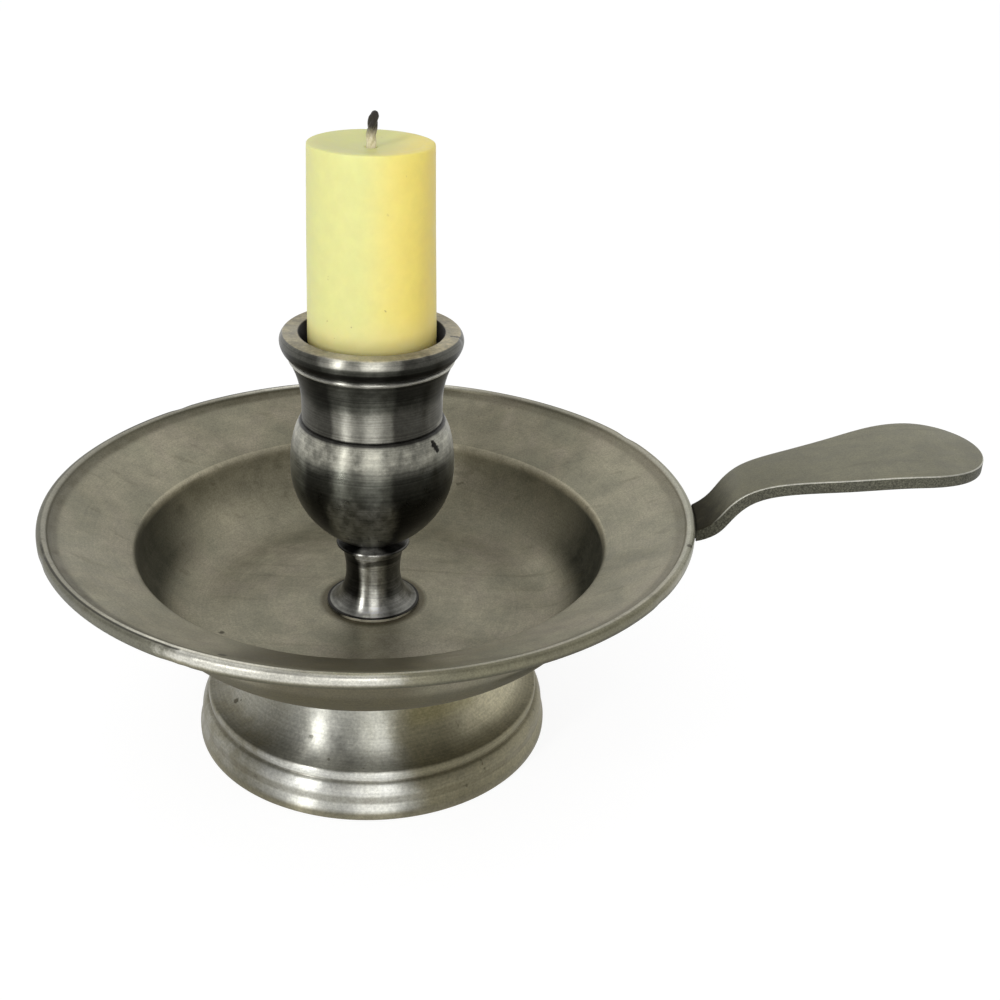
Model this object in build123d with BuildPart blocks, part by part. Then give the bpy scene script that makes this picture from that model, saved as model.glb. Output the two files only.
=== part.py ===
"""Chamberstick: a drip pan on a hollow foot, a turned candle socket, a strap handle and a candle stub.

Frame: millimetres, +Z up, the origin on the socket's axis at the table, the handle along +X.
"""
import os
from math import cos, radians, tan

from build123d import *

os.makedirs("parts", exist_ok=True)

# Fits and seams that several pieces share
solder_film = 0.05
solder_leg = 1.4
thread_gap = 0.05
screw_hole_gap = 0.3
cut_overrun = 1.0

# Foot: base edge, flared toe, ovolo, quirk, bead and cove, from the table up
foot_height = 23.6
foot_radius = 33.0
foot_wall = 1.8
foot_edge_height = 1.4
toe_height = 2.0
toe_flare = 0.65
toe_hollow = 0.08
ovolo_height = 3.4
ovolo_set_in = 0.85
ovolo_bulge = 0.42
quirk_depth = 0.55
quirk_height = 0.25
foot_bead_height = 1.9
foot_bead_bulge = 0.25
cove_ledge = 0.4
cove_width = 6.15
cove_height = 8.5

# Pan: flat floor, round well wall, sloping rim and raised edge
pan_wall = 1.6
pan_radius = 58.0
well_radius = 41.9
well_depth = 14.1
well_lip_height = 1.6
well_arris_round = 0.5
rim_angle = 24.3
edge_width = 2.0
edge_step = 0.75
edge_round_share = 0.35

# Tie screw and its washer
screw_radius = 2.5
screw_head_overhang = 2.1
screw_head_height = 2.8
screw_head_round_share = 0.4
screw_slot_width = 1.2
screw_slot_depth = 1.3
screw_engagement = 9.0
screw_hole_spare = 1.5
washer_margin = 2.9
washer_height = 1.2

# Stem: a waisted spool with a spread base and a sharp collar
stem_height = 12.8
stem_base_radius = 8.5
stem_base_edge = 0.6
stem_waist_radius = 4.95
stem_waist_rise = 6.8
stem_collar_radius = 6.65
stem_collar_height = 0.5
stem_collar_chamfer = 0.2

# Socket bore, shared by the bulb, the cup and the candle
socket_radius = 11.0
socket_depth = 21.9
spigot_wall = 0.95
spigot_end_gap = 0.3

# Bulb: a full belly and a round shoulder that meet at its widest point
bulb_swell = 1.9
bulb_rim_wall = 0.65
bulb_seat_margin = 2.75
bulb_lower_height = 15.0
bulb_upper_height = 9.1
bulb_belly_shares = (0.778, 0.469)
bulb_seat_slope_share = 0.52
bulb_shoulder_slope_share = 0.6

# Cup: waist, ring and rolled lip above the bulb
cup_height = 15.9
cup_shoulder = 0.3
cup_waist_height = 3.2
cup_ring_flare = 1.8
cup_ring_bottom = 10.85
cup_ring_height = 0.7
cup_ring_bulge = 0.25
lip_root_swell = 0.05
lip_roll_bulge = 0.25
mouth_flare = 1.5
mouth_depth = 5.0
lip_width = 3.1
lip_underside_drop = 2.2
lip_edge_drop = 0.85
lip_top_set_in = 0.6

# Candle and wick
candle_gap = 0.25
candle_butt_set_in = 0.85
candle_lip_gap = 1.52
candle_shoulder_drop = 1.4
candle_taper = 0.56
candle_height = 53.5
candle_pool_depth = 0.8
candle_pool_slope_share = 0.2
candle_rim_width = 1.6
candle_edge_round = 0.5
wick_radius = 0.9
wick_gap = 0.05
wick_rise = 5.0
wick_foot = 1.0

# Handle: a strap in side view and in plan, and its tongue under the rim
handle_reach = 48.2
handle_rise = 15.35
handle_thickness = 2.3
handle_root_drop = 0.35
handle_root_half = 4.8
handle_root_splay = 0.35
handle_neck_half = 6.25
handle_neck_splay = 0.05
handle_blade_half = 11.5
handle_neck_share = 0.207
handle_edge_round = 0.35
handle_line_shares = [
    (-0.031, -0.055),
    (0.010, 0.000),
    (0.059, 0.108),
    (0.112, 0.322),
    (0.168, 0.498),
    (0.226, 0.593),
    (0.308, 0.674),
    (0.504, 0.822),
    (0.688, 0.956),
    (0.871, 1.000),
    (1.010, 0.990),
]
tongue_half = 3.4
tongue_clear_share = 0.144
tongue_thickness = 0.8
tongue_reach = 1.2


# Foot: a hollow turned pedestal, open below
toe_top = foot_edge_height + toe_height
toe_radius = foot_radius - toe_flare
ovolo_top = toe_top + ovolo_height
ovolo_top_radius = toe_radius - ovolo_set_in
quirk_radius = ovolo_top_radius - quirk_depth
bead_bottom = ovolo_top + quirk_height
bead_top = bead_bottom + foot_bead_height
cove_radius = quirk_radius - cove_ledge
cove_top = bead_top + cove_height
neck_radius = cove_radius - cove_width
foot_shoulder_radius = cove_radius - foot_wall
foot_shoulder_height = bead_top - foot_wall
neck_bore = neck_radius - foot_wall

with BuildPart() as foot:
    with BuildSketch(Plane.XZ):
        with BuildLine():
            Polyline((foot_radius - foot_wall, 0), (foot_radius, 0), (foot_radius, foot_edge_height))
            toe_middle = (foot_radius - toe_flare / 2 - toe_hollow, foot_edge_height + toe_height / 2)
            ThreePointArc((foot_radius, foot_edge_height), toe_middle, (toe_radius, toe_top))
            ovolo_middle = (toe_radius - ovolo_set_in / 2 + ovolo_bulge, toe_top + ovolo_height / 2)
            ThreePointArc((toe_radius, toe_top), ovolo_middle, (ovolo_top_radius, ovolo_top))
            Polyline((ovolo_top_radius, ovolo_top), (quirk_radius, ovolo_top), (quirk_radius, bead_bottom))
            bead_middle = (quirk_radius + foot_bead_bulge, bead_bottom + foot_bead_height / 2)
            ThreePointArc((quirk_radius, bead_bottom), bead_middle, (quirk_radius, bead_top))
            Line((quirk_radius, bead_top), (cove_radius, bead_top))
            EllipticalCenterArc(
                (cove_radius, cove_top),
                cove_width,
                cove_height,
                start_angle=180,
                arc_size=90,
            )
            Polyline(
                (neck_radius, cove_top),
                (neck_radius, foot_height),
                (neck_bore, foot_height),
                (neck_bore, cove_top),
            )
            EllipticalCenterArc(
                (foot_shoulder_radius, cove_top),
                cove_width,
                cove_top - foot_shoulder_height,
                start_angle=180,
                arc_size=90,
            )
            Line((foot_shoulder_radius, foot_shoulder_height), (foot_radius - foot_wall, 0))
        make_face()
    revolve(axis=Axis.Z)
foot.part.label = "foot"
export_step(foot.part, "parts/foot.step")

# Pan: one spun sheet, with the screw's hole in its floor
pan_under = foot_height
pan_floor = pan_under + pan_wall
well_edge = pan_floor + well_depth
well_curve = well_depth - well_lip_height
well_outside = well_radius + pan_wall
rim_drop = pan_wall / cos(radians(rim_angle))
edge_radius = pan_radius - edge_width
rim_top = well_edge + (edge_radius - well_radius) * tan(radians(rim_angle))
edge_crest = rim_top + edge_step
edge_bottom = rim_top - rim_drop
edge_round = edge_round_share * edge_width
screw_hole_radius = screw_radius + screw_hole_gap


def rim_under(radius):
    """Height of the sloping rim's underside at a radius."""
    return edge_bottom - (edge_radius - radius) * tan(radians(rim_angle))


with BuildPart() as pan:
    with BuildSketch(Plane.XZ) as pan_section:
        with BuildLine():
            pan_points = [
                (screw_hole_radius, pan_floor),
                (well_radius, pan_floor),
                (well_radius, well_edge),
                (edge_radius, rim_top),
                (edge_radius, edge_crest),
                (pan_radius, edge_crest),
                (pan_radius, edge_bottom),
                (edge_radius, edge_bottom),
                (well_outside, rim_under(well_outside)),
                (well_outside, pan_under),
                (screw_hole_radius, pan_under),
            ]
            Polyline(*pan_points, close=True)
        make_face()
        fillet(pan_section.vertices().sort_by_distance((well_radius, pan_floor))[0], well_curve)
        fillet(pan_section.vertices().sort_by_distance((well_outside, pan_under))[0], well_curve + pan_wall)
        fillet(pan_section.vertices().sort_by_distance((well_radius, well_edge))[0], well_arris_round)
        for corner in [(edge_radius, edge_crest), (pan_radius, edge_crest), (pan_radius, edge_bottom)]:
            fillet(pan_section.vertices().sort_by_distance(corner)[0], edge_round)
    revolve(axis=Axis.Z)
pan.part.label = "pan"
export_step(pan.part, "parts/pan.step")

# Foot solder: a fillet ring in the corner between the foot's neck and the pan's underside
with BuildPart() as foot_solder:
    with BuildSketch(Plane.XZ):
        solder_inside = neck_radius + solder_film
        with BuildLine():
            Polyline(
                (solder_inside, pan_under),
                (solder_inside, pan_under - solder_leg),
                (solder_inside + solder_leg, pan_under),
                close=True,
            )
        make_face()
    revolve(axis=Axis.Z)
foot_solder.part.label = "foot_solder"
export_step(foot_solder.part, "parts/foot_solder.step")

# Stem: a turned spool that stands on the pan's floor
stem_top = pan_floor + stem_height
stem_waist = pan_floor + stem_waist_rise
stem_collar = stem_top - stem_collar_height

with BuildPart() as stem:
    with BuildSketch(Plane.XZ) as stem_section:
        with BuildLine():
            Polyline(
                (screw_hole_radius, pan_floor),
                (stem_base_radius, pan_floor),
                (stem_base_radius, pan_floor + stem_base_edge),
            )
            EllipticalCenterArc(
                (stem_base_radius, stem_waist),
                stem_base_radius - stem_waist_radius,
                stem_waist_rise - stem_base_edge,
                start_angle=180,
                arc_size=90,
            )
            EllipticalCenterArc(
                (stem_collar_radius, stem_waist),
                stem_collar_radius - stem_waist_radius,
                stem_collar - stem_waist,
                start_angle=90,
                arc_size=90,
            )
            Polyline(
                (stem_collar_radius, stem_collar),
                (stem_collar_radius, stem_top),
                (screw_hole_radius, stem_top),
                (screw_hole_radius, pan_floor),
            )
        make_face()
        collar_corner = stem_section.vertices().sort_by_distance((stem_collar_radius, stem_top))[0]
        chamfer(collar_corner, stem_collar_chamfer)
    revolve(axis=Axis.Z)
stem.part.label = "stem"
export_step(stem.part, "parts/stem.step")

# Bulb: the socket's lower casting, tapped below and bored above for the cup's spigot
bulb_widest = stem_top + bulb_lower_height
bulb_top = bulb_widest + bulb_upper_height
spigot_radius = socket_radius + spigot_wall
bulb_top_radius = spigot_radius + bulb_rim_wall
bulb_radius = bulb_top_radius + bulb_swell
bulb_seat_radius = stem_collar_radius - bulb_seat_margin
cup_top = bulb_top + cup_height
socket_floor = cup_top - socket_depth
tapped_top = stem_top + screw_engagement + screw_hole_spare

with BuildPart() as bulb:
    with BuildSketch(Plane.XZ):
        with BuildLine():
            Line((0, stem_top), (bulb_seat_radius, stem_top))
            belly = (
                bulb_seat_radius + bulb_belly_shares[0] * (bulb_radius - bulb_seat_radius),
                stem_top + bulb_belly_shares[1] * bulb_lower_height,
            )
            Spline(
                (bulb_seat_radius, stem_top),
                belly,
                (bulb_radius, bulb_widest),
                tangents=[(1, bulb_seat_slope_share), (0, 1)],
            )
            Spline(
                (bulb_radius, bulb_widest),
                (bulb_top_radius, bulb_top),
                tangents=[(0, 1), (-bulb_shoulder_slope_share, 1)],
            )
            Polyline((bulb_top_radius, bulb_top), (0, bulb_top), (0, stem_top))
        make_face()
    revolve(axis=Axis.Z)
    with BuildSketch(Plane.XY.offset(socket_floor)):
        Circle(spigot_radius + solder_film)
    extrude(amount=bulb_top - socket_floor, mode=Mode.SUBTRACT)
    with BuildSketch(Plane.XY.offset(stem_top)):
        Circle(screw_radius + thread_gap)
    extrude(amount=tapped_top - stem_top, mode=Mode.SUBTRACT)
bulb.part.label = "bulb"
export_step(bulb.part, "parts/bulb.step")

# Cup: the socket's upper casting, from its spigot inside the bulb to the flared lip
cup_waist_radius = spigot_radius + cup_shoulder
cup_ring_radius = cup_waist_radius + cup_ring_flare
lip_root_radius = cup_ring_radius + lip_root_swell
mouth_radius = socket_radius + mouth_flare
mouth_throat = cup_top - mouth_depth
lip_radius = mouth_radius + lip_width
ring_bottom = bulb_top + cup_ring_bottom
ring_top = ring_bottom + cup_ring_height
waist_top = bulb_top + cup_waist_height
spigot_end = socket_floor + spigot_end_gap
lip_underside = (lip_radius, cup_top - lip_underside_drop)
lip_shoulder = (lip_radius - lip_top_set_in, cup_top)

with BuildPart() as cup:
    with BuildSketch(Plane.XZ):
        with BuildLine():
            Polyline(
                (socket_radius, spigot_end),
                (spigot_radius, spigot_end),
                (spigot_radius, bulb_top),
                (cup_waist_radius, bulb_top),
                (cup_waist_radius, waist_top),
            )
            TangentArc((cup_waist_radius, waist_top), (cup_ring_radius, ring_bottom), tangent=(0, 1))
            ring_middle = (cup_ring_radius + cup_ring_bulge, (ring_bottom + ring_top) / 2)
            ThreePointArc((cup_ring_radius, ring_bottom), ring_middle, (cup_ring_radius, ring_top))
            Line((cup_ring_radius, ring_top), (lip_root_radius, ring_top))
            roll_radius = (lip_root_radius + lip_radius) / 2 + lip_roll_bulge
            roll_height = (ring_top + cup_top - lip_underside_drop) / 2
            ThreePointArc((lip_root_radius, ring_top), (roll_radius, roll_height), lip_underside)
            ThreePointArc(lip_underside, (lip_radius, cup_top - lip_edge_drop), lip_shoulder)
            Polyline(
                lip_shoulder,
                (mouth_radius, cup_top),
                (socket_radius, mouth_throat),
                (socket_radius, spigot_end),
            )
        make_face()
    revolve(axis=Axis.Z)
cup.part.label = "cup"
export_step(cup.part, "parts/cup.step")

# Tie washer and tie screw, inside the foot
washer_bottom = pan_under - washer_height
head_bottom = washer_bottom - screw_head_height
screw_head_radius = screw_radius + screw_head_overhang
washer_radius = screw_head_radius + washer_margin

with BuildPart() as tie_washer:
    with BuildSketch(Plane.XY.offset(washer_bottom)):
        Circle(washer_radius)
        Circle(screw_hole_radius, mode=Mode.SUBTRACT)
    extrude(amount=washer_height)
tie_washer.part.label = "tie_washer"
export_step(tie_washer.part, "parts/tie_washer.step")

with BuildPart() as tie_screw:
    with BuildSketch(Plane.XY.offset(head_bottom)):
        Circle(screw_head_radius)
    extrude(amount=screw_head_height)
    head_edge = tie_screw.edges().filter_by(GeomType.CIRCLE).sort_by(Axis.Z)[0]
    fillet(head_edge, screw_head_round_share * screw_head_height)
    with BuildSketch(Plane.XY.offset(washer_bottom)):
        Circle(screw_radius)
    extrude(amount=stem_top + screw_engagement - washer_bottom)
    with BuildSketch(Plane.XY.offset(head_bottom)):
        Rectangle(2 * (screw_head_radius + cut_overrun), screw_slot_width)
    extrude(amount=screw_slot_depth, mode=Mode.SUBTRACT)
tie_screw.part.label = "tie_screw"
export_step(tie_screw.part, "parts/tie_screw.step")

# Handle tongue: a strip lapped under the rim and the raised edge, with a heel up to the strap
root_height = (edge_crest + edge_bottom) / 2 - handle_root_drop
butt_radius = pan_radius + solder_film
solder_room_inner = well_outside + solder_leg
tongue_inner = solder_room_inner + tongue_clear_share * (edge_radius - solder_room_inner)
tongue_outer = pan_radius + tongue_reach
lap_top = edge_bottom - solder_film
lap_bottom = lap_top - tongue_thickness
lap_inner_top = rim_under(tongue_inner) - solder_film
heel_outer = pan_radius + handle_line_shares[2][0] * handle_reach
heel_top = root_height + handle_line_shares[2][1] * handle_rise

with BuildPart() as handle_tongue:
    with BuildSketch(Plane.XZ):
        with BuildLine():
            Polyline(
                (tongue_inner, lap_inner_top),
                (edge_radius, lap_top),
                (butt_radius, lap_top),
                (butt_radius, root_height),
                (heel_outer, heel_top),
                (tongue_outer, lap_bottom),
                (edge_radius, lap_bottom),
                (tongue_inner, lap_inner_top - tongue_thickness),
                close=True,
            )
        make_face()
    revolve(axis=Axis.Z)
    with BuildSketch(Plane.XY):
        with Locations((heel_outer / 2 + cut_overrun, 0)):
            Rectangle(heel_outer + 2 * cut_overrun, 2 * tongue_half)
    extrude(amount=heel_top + cut_overrun, mode=Mode.INTERSECT)

# Handle: the strap's side view, cut to its plan and to the pan's edge, with the tongue added
handle_tip = pan_radius + handle_reach
blade_centre = handle_tip - handle_blade_half
neck_at = pan_radius + handle_neck_share * handle_reach
root_at = pan_radius + handle_line_shares[0][0] * handle_reach

with BuildPart() as handle:
    with BuildSketch(Plane.XZ):
        with BuildLine() as strap_line:
            Spline(
                *[
                    (pan_radius + along * handle_reach, root_height + up * handle_rise)
                    for along, up in handle_line_shares
                ]
            )
        trace(strap_line.line, line_width=handle_thickness)
    extrude(amount=handle_blade_half + cut_overrun, both=True)
    with BuildSketch(Plane.XY):
        with BuildLine():
            Spline(
                (root_at, handle_root_half),
                (neck_at, handle_neck_half),
                (blade_centre, handle_blade_half),
                tangents=[(1, handle_root_splay), (1, handle_neck_splay), (1, 0)],
            )
            CenterArc((blade_centre, 0), handle_blade_half, start_angle=-90, arc_size=180)
            Spline(
                (root_at, -handle_root_half),
                (neck_at, -handle_neck_half),
                (blade_centre, -handle_blade_half),
                tangents=[(1, -handle_root_splay), (1, -handle_neck_splay), (1, 0)],
            )
            Line((root_at, -handle_root_half), (root_at, handle_root_half))
        make_face()
    extrude(amount=root_height + handle_rise + handle_thickness, mode=Mode.INTERSECT)
    with BuildSketch(Plane.XY):
        Circle(butt_radius)
    extrude(amount=root_height + handle_rise, mode=Mode.SUBTRACT)
    broad_faces = handle.faces().sort_by(SortBy.AREA)[-2:]
    long_edges = broad_faces.edges().filter_by(lambda edge: edge.length > handle_reach / 2)
    fillet(long_edges, handle_edge_round)
    add(handle_tongue.part)
handle.part.label = "handle"
export_step(handle.part, "parts/handle.step")

# Handle solder: a fillet strip in the corner between the tongue's end and the rim's underside
with BuildPart() as handle_solder:
    with BuildSketch(Plane.XZ):
        bead_outer = tongue_inner - solder_film
        bead_inner = bead_outer - solder_leg
        with BuildLine():
            Polyline(
                (bead_inner, rim_under(bead_inner) - solder_film),
                (bead_outer, rim_under(bead_outer) - solder_film),
                (bead_outer, rim_under(bead_outer) - solder_film - solder_leg),
                close=True,
            )
        make_face()
    revolve(axis=Axis.Z)
    with BuildSketch(Plane.XY):
        with Locations((tongue_outer / 2, 0)):
            Rectangle(tongue_outer, 2 * tongue_half)
    extrude(amount=edge_crest, mode=Mode.INTERSECT)
handle_solder.part.label = "handle_solder"
export_step(handle_solder.part, "parts/handle_solder.step")

# Candle: a stub with a tapered butt, a slight taper above the lip and a shallow melted pool
candle_bottom = socket_floor
candle_top = candle_bottom + candle_height
candle_throat_radius = socket_radius - candle_gap
candle_butt_radius = candle_throat_radius - candle_butt_set_in
candle_radius = mouth_radius - candle_lip_gap
candle_top_radius = candle_radius - candle_taper
pool_radius = candle_top_radius - candle_rim_width
wick_hole = wick_radius + wick_gap

with BuildPart() as candle:
    with BuildSketch(Plane.XZ) as candle_section:
        with BuildLine():
            Polyline(
                (wick_hole, candle_bottom),
                (candle_butt_radius, candle_bottom),
                (candle_throat_radius, mouth_throat),
                (candle_radius, cup_top - candle_shoulder_drop),
                (candle_top_radius, candle_top),
                (pool_radius, candle_top),
            )
            TangentArc(
                (pool_radius, candle_top),
                (wick_hole, candle_top - candle_pool_depth),
                tangent=(-1, -candle_pool_slope_share),
            )
            Line((wick_hole, candle_top - candle_pool_depth), (wick_hole, candle_bottom))
        make_face()
        top_corner = candle_section.vertices().sort_by_distance((candle_top_radius, candle_top))[0]
        fillet(top_corner, candle_edge_round)
    revolve(axis=Axis.Z)
candle.part.label = "candle"
export_step(candle.part, "parts/candle.step")

# Wick: a plain round cord up the middle of the candle
with BuildPart() as wick:
    with BuildSketch(Plane.XY.offset(candle_bottom + wick_foot)):
        Circle(wick_radius)
    extrude(amount=candle_height + wick_rise - wick_foot)
wick.part.label = "wick"
export_step(wick.part, "parts/wick.step")
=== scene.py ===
# %% [markdown]
# A pewter chamberstick: a wide drip pan on a hollow turned foot, a candle socket of three turned castings,
# a flat strap handle and a candle stub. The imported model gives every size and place, so this file only
# gives the pieces their finer shapes and their finishes. All lengths below are written in millimetres and
# turned into metres where a mesh is made.

# %% Load the frame
import math
from functools import partial, reduce

import bmesh
import bpy
import numpy as np
from mathutils import Matrix, Vector


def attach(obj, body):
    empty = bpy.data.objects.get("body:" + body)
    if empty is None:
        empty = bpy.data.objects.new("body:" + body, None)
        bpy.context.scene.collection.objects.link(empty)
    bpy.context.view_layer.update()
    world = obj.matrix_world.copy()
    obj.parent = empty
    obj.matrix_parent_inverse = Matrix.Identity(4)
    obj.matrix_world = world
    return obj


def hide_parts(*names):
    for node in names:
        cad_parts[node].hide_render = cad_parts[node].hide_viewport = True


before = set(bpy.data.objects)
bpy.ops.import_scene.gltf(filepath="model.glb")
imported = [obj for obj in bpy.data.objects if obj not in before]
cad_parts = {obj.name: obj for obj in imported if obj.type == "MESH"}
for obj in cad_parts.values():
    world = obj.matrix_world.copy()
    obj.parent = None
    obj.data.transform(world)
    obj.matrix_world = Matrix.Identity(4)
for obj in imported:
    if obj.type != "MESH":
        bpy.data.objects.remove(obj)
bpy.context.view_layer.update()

MM = 0.001

# %% [markdown]
# The camera stands a little to the right of straight ahead and looks down at the pan. It is aimed slightly
# beside the socket and tilted by about two degrees, as a hand-held camera is, so its turn is written as
# heading, pitch and roll instead of a track-to constraint.

# %% Camera
camera_place = Vector((0.02691, -0.21914, 0.15539))
camera_heading, camera_pitch, camera_roll = 1.05, 26.3, 2.35

camera_data = bpy.data.cameras.new("camera")
camera_data.lens = 49.03
camera_data.sensor_width = 36.0
camera_data.clip_start = 0.01
camera = bpy.data.objects.new("camera", camera_data)
camera.matrix_world = (
    Matrix.Translation(camera_place)
    @ Matrix.Rotation(math.radians(camera_heading), 4, "Z")
    @ Matrix.Rotation(math.radians(90 - camera_pitch), 4, "X")
    @ Matrix.Rotation(math.radians(camera_roll), 4, "Z")
)
bpy.context.scene.collection.objects.link(camera)
bpy.context.scene.camera = camera
bpy.context.scene.view_settings.view_transform = "Standard"
print("camera", [round(v, 4) for v in camera.location])

# %% [markdown]
# A turned piece is one outline swept round the axis. Real turned edges are never knife sharp: years of
# polishing round each of them by a tenth of a millimetre or two. A Bevel modifier could do this, but it is
# hard to control where fine grooves lie close together, so the outline itself is softened first: it is
# walked in small equal steps and every point is averaged with its neighbours. Then points are picked along
# it, closer together where it bends.

# %% Outlines
FINE_STEP = 0.02


def straight(*points):
    """Corner points of straight runs, as an array."""
    return np.array(points, float)


def arc_through(start, middle, end, count=40):
    """The circle through three points: its centre is equally far from all three."""
    a, b, c = (np.array(p, float) for p in (start, middle, end))
    lean = 2 * np.array([b - a, c - a])
    centre = np.linalg.solve(lean, [b @ b - a @ a, c @ c - a @ a])
    angle = np.unwrap(np.arctan2(*(np.array([a, b, c]) - centre).T[::-1]))
    t = np.linspace(angle[0], angle[2], count)
    return centre + np.hypot(*(a - centre)) * np.column_stack([np.cos(t), np.sin(t)])


def quarter_oval(centre, half_width, half_height, start_degrees, sweep_degrees, count=60):
    """Part of an ellipse: centre + (a cos t, b sin t), t from the start angle through the sweep."""
    t = np.radians(np.linspace(start_degrees, start_degrees + sweep_degrees, count))
    return np.array(centre) + np.column_stack([half_width * np.cos(t), half_height * np.sin(t)])


def tangent_arc(start, heading, end, count=40):
    """The circle that leaves start along a heading and reaches end: its radius is |d|^2 / (2 d.n),
    d the chord and n square to the heading."""
    start, end = np.array(start, float), np.array(end, float)
    heading = np.array(heading, float) / np.hypot(*heading)
    beside = np.array([-heading[1], heading[0]])
    chord = end - start
    radius = chord @ chord / (2 * chord @ beside)
    centre = start + radius * beside
    half_turn = 2 * np.arctan2(chord @ beside, chord @ heading)
    first = np.arctan2(*(start - centre)[::-1])
    t = np.linspace(first, first + half_turn, count)
    return centre + abs(radius) * np.column_stack([np.cos(t), np.sin(t)])


def fair_curve(points, start_slope=None, end_slope=None, count=120):
    """A curve through points with even curvature: cubic runs whose slopes m solve
    h1 m0 + 2 (h0 + h1) m1 + h0 m2 = 3 (h1 d0 + h0 d1) at each inner point, d the chord slopes and h the
    chord lengths."""
    p = np.array(points, float)
    h = np.hypot(*np.diff(p, axis=0).T)
    d = np.diff(p, axis=0) / h[:, None]
    n = len(p)
    system, right = np.eye(n), np.zeros_like(p)
    right[0] = d[0] if start_slope is None else np.array(start_slope) / np.hypot(*start_slope)
    right[-1] = d[-1] if end_slope is None else np.array(end_slope) / np.hypot(*end_slope)
    inner = np.arange(1, n - 1)
    system[inner, inner - 1] = h[1:]
    system[inner, inner] = 2 * (h[:-1] + h[1:])
    system[inner, inner + 1] = h[:-1]
    right[inner] = 3 * (h[1:, None] * d[:-1] + h[:-1, None] * d[1:])
    m = np.linalg.solve(system, right)
    knots = np.concatenate([[0], np.cumsum(h)])
    at = np.linspace(0, knots[-1], count)
    k = np.clip(np.searchsorted(knots, at, side="right") - 1, 0, n - 2)
    t = ((at - knots[k]) / h[k])[:, None]
    span = h[k][:, None]
    return (
        (2 * t**3 - 3 * t**2 + 1) * p[k] + (t**3 - 2 * t**2 + t) * span * m[k]
        + (3 * t**2 - 2 * t**3) * p[k + 1] + (t**3 - t**2) * span * m[k + 1]
    )


def worn_outline(*runs, wear=0.1, stride=1.5, bend=7.0, closed=True):
    """Joins runs into one outline, softens it with a bell curve of width wear, and picks points so that
    each step adds up to one: its length over stride plus its turn over bend degrees."""
    corners = np.vstack(runs)
    line = np.vstack([corners, corners[:1]]) if closed else corners
    length = np.concatenate([[0], np.cumsum(np.hypot(*np.diff(line, axis=0).T))])
    at = np.linspace(0, length[-1], int(length[-1] / FINE_STEP), endpoint=not closed)
    fine = np.column_stack([np.interp(at, length, line[:, k]) for k in (0, 1)])
    reach = int(4 * wear / FINE_STEP)
    bell = np.exp(-0.5 * (np.arange(-reach, reach + 1) * FINE_STEP / wear) ** 2)
    padded = np.pad(fine, ((reach, reach), (0, 0)), mode="wrap" if closed else "edge")
    soft = np.column_stack([np.convolve(padded[:, k], bell / bell.sum(), "valid") for k in (0, 1)])
    if closed:
        soft = np.vstack([soft, soft[:1]])
    else:
        soft[[0, -1]] = corners[[0, -1]]
    leg = np.diff(soft, axis=0)
    heading = np.unwrap(np.arctan2(leg[:, 1], leg[:, 0]))
    turn = np.abs(np.diff(heading, append=heading[-1:]))
    cost = np.concatenate([[0], np.cumsum(np.hypot(*leg.T) / stride + np.degrees(turn) / bend)])
    pick = np.linspace(0, cost[-1], int(cost[-1]) + 2)[: -1 if closed else None]
    return np.column_stack([np.interp(pick, cost, soft[:, k]) for k in (0, 1)])


# %% [markdown]
# A few helpers put arrays into meshes. The first builds one mesh from a list of vertices, quads and
# triangles without looping over them. Another turns an outline round the axis: a closed outline gives a
# ring, an open one starts and ends on the axis and is closed there by two fans. A function of angle and
# outline can push the surface in along its own normal, which is how dents and a lack of roundness get in.

# %% From arrays to meshes
ROUND_STEPS = 320
pieces_made = {}


def piece_from_arrays(name, points, quads, triangles=None):
    """Makes a smooth mesh object at the origin from points in millimetres and face indices."""
    mesh = bpy.data.meshes.new(name)
    triangles = np.zeros((0, 3), int) if triangles is None else triangles
    corners = np.concatenate([quads.ravel(), triangles.ravel()]).astype(np.int32)
    sizes = np.concatenate([np.full(len(quads), 4), np.full(len(triangles), 3)]).astype(np.int32)
    mesh.vertices.add(len(points))
    mesh.vertices.foreach_set("co", (points * MM).astype(np.float32).ravel())
    mesh.loops.add(len(corners))
    mesh.loops.foreach_set("vertex_index", corners)
    mesh.polygons.add(len(sizes))
    mesh.polygons.foreach_set("loop_start", np.concatenate([[0], np.cumsum(sizes)[:-1]]).astype(np.int32))
    mesh.polygons.foreach_set("use_smooth", np.ones(len(sizes), bool))
    mesh.update(calc_edges=True)
    mesh.validate()
    piece = bpy.data.objects.new(name, mesh)
    bpy.context.scene.collection.objects.link(piece)
    pieces_made[name] = piece
    triangle_count = int((sizes - 2).sum())
    print(f"{name}: {len(points)} points, {triangle_count} triangles")
    return piece


def grid_quads(rows, columns, rows_close, columns_close):
    """Quads between neighbouring rows and columns of a grid, wrapping round where a side closes."""
    i = np.arange(rows if rows_close else rows - 1)[:, None]
    j = np.arange(columns if columns_close else columns - 1)[None, :]
    i1, j1 = (i + 1) % rows, (j + 1) % columns
    i, j, i1, j1 = np.broadcast_arrays(i, j, i1, j1)
    corners = [i * columns + j, i * columns + j1, i1 * columns + j1, i1 * columns + j]
    return np.stack(corners, -1).reshape(-1, 4)


def outline_normals(outline, closed):
    """Unit normals on the right-hand side of the outline's direction, which is outside the metal."""
    ahead = np.roll(outline, -1, 0) - np.roll(outline, 1, 0)
    if not closed:
        ahead[0], ahead[-1] = outline[1] - outline[0], outline[-1] - outline[-2]
    normal = np.column_stack([ahead[:, 1], -ahead[:, 0]])
    return normal / np.hypot(*normal.T)[:, None]


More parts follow.
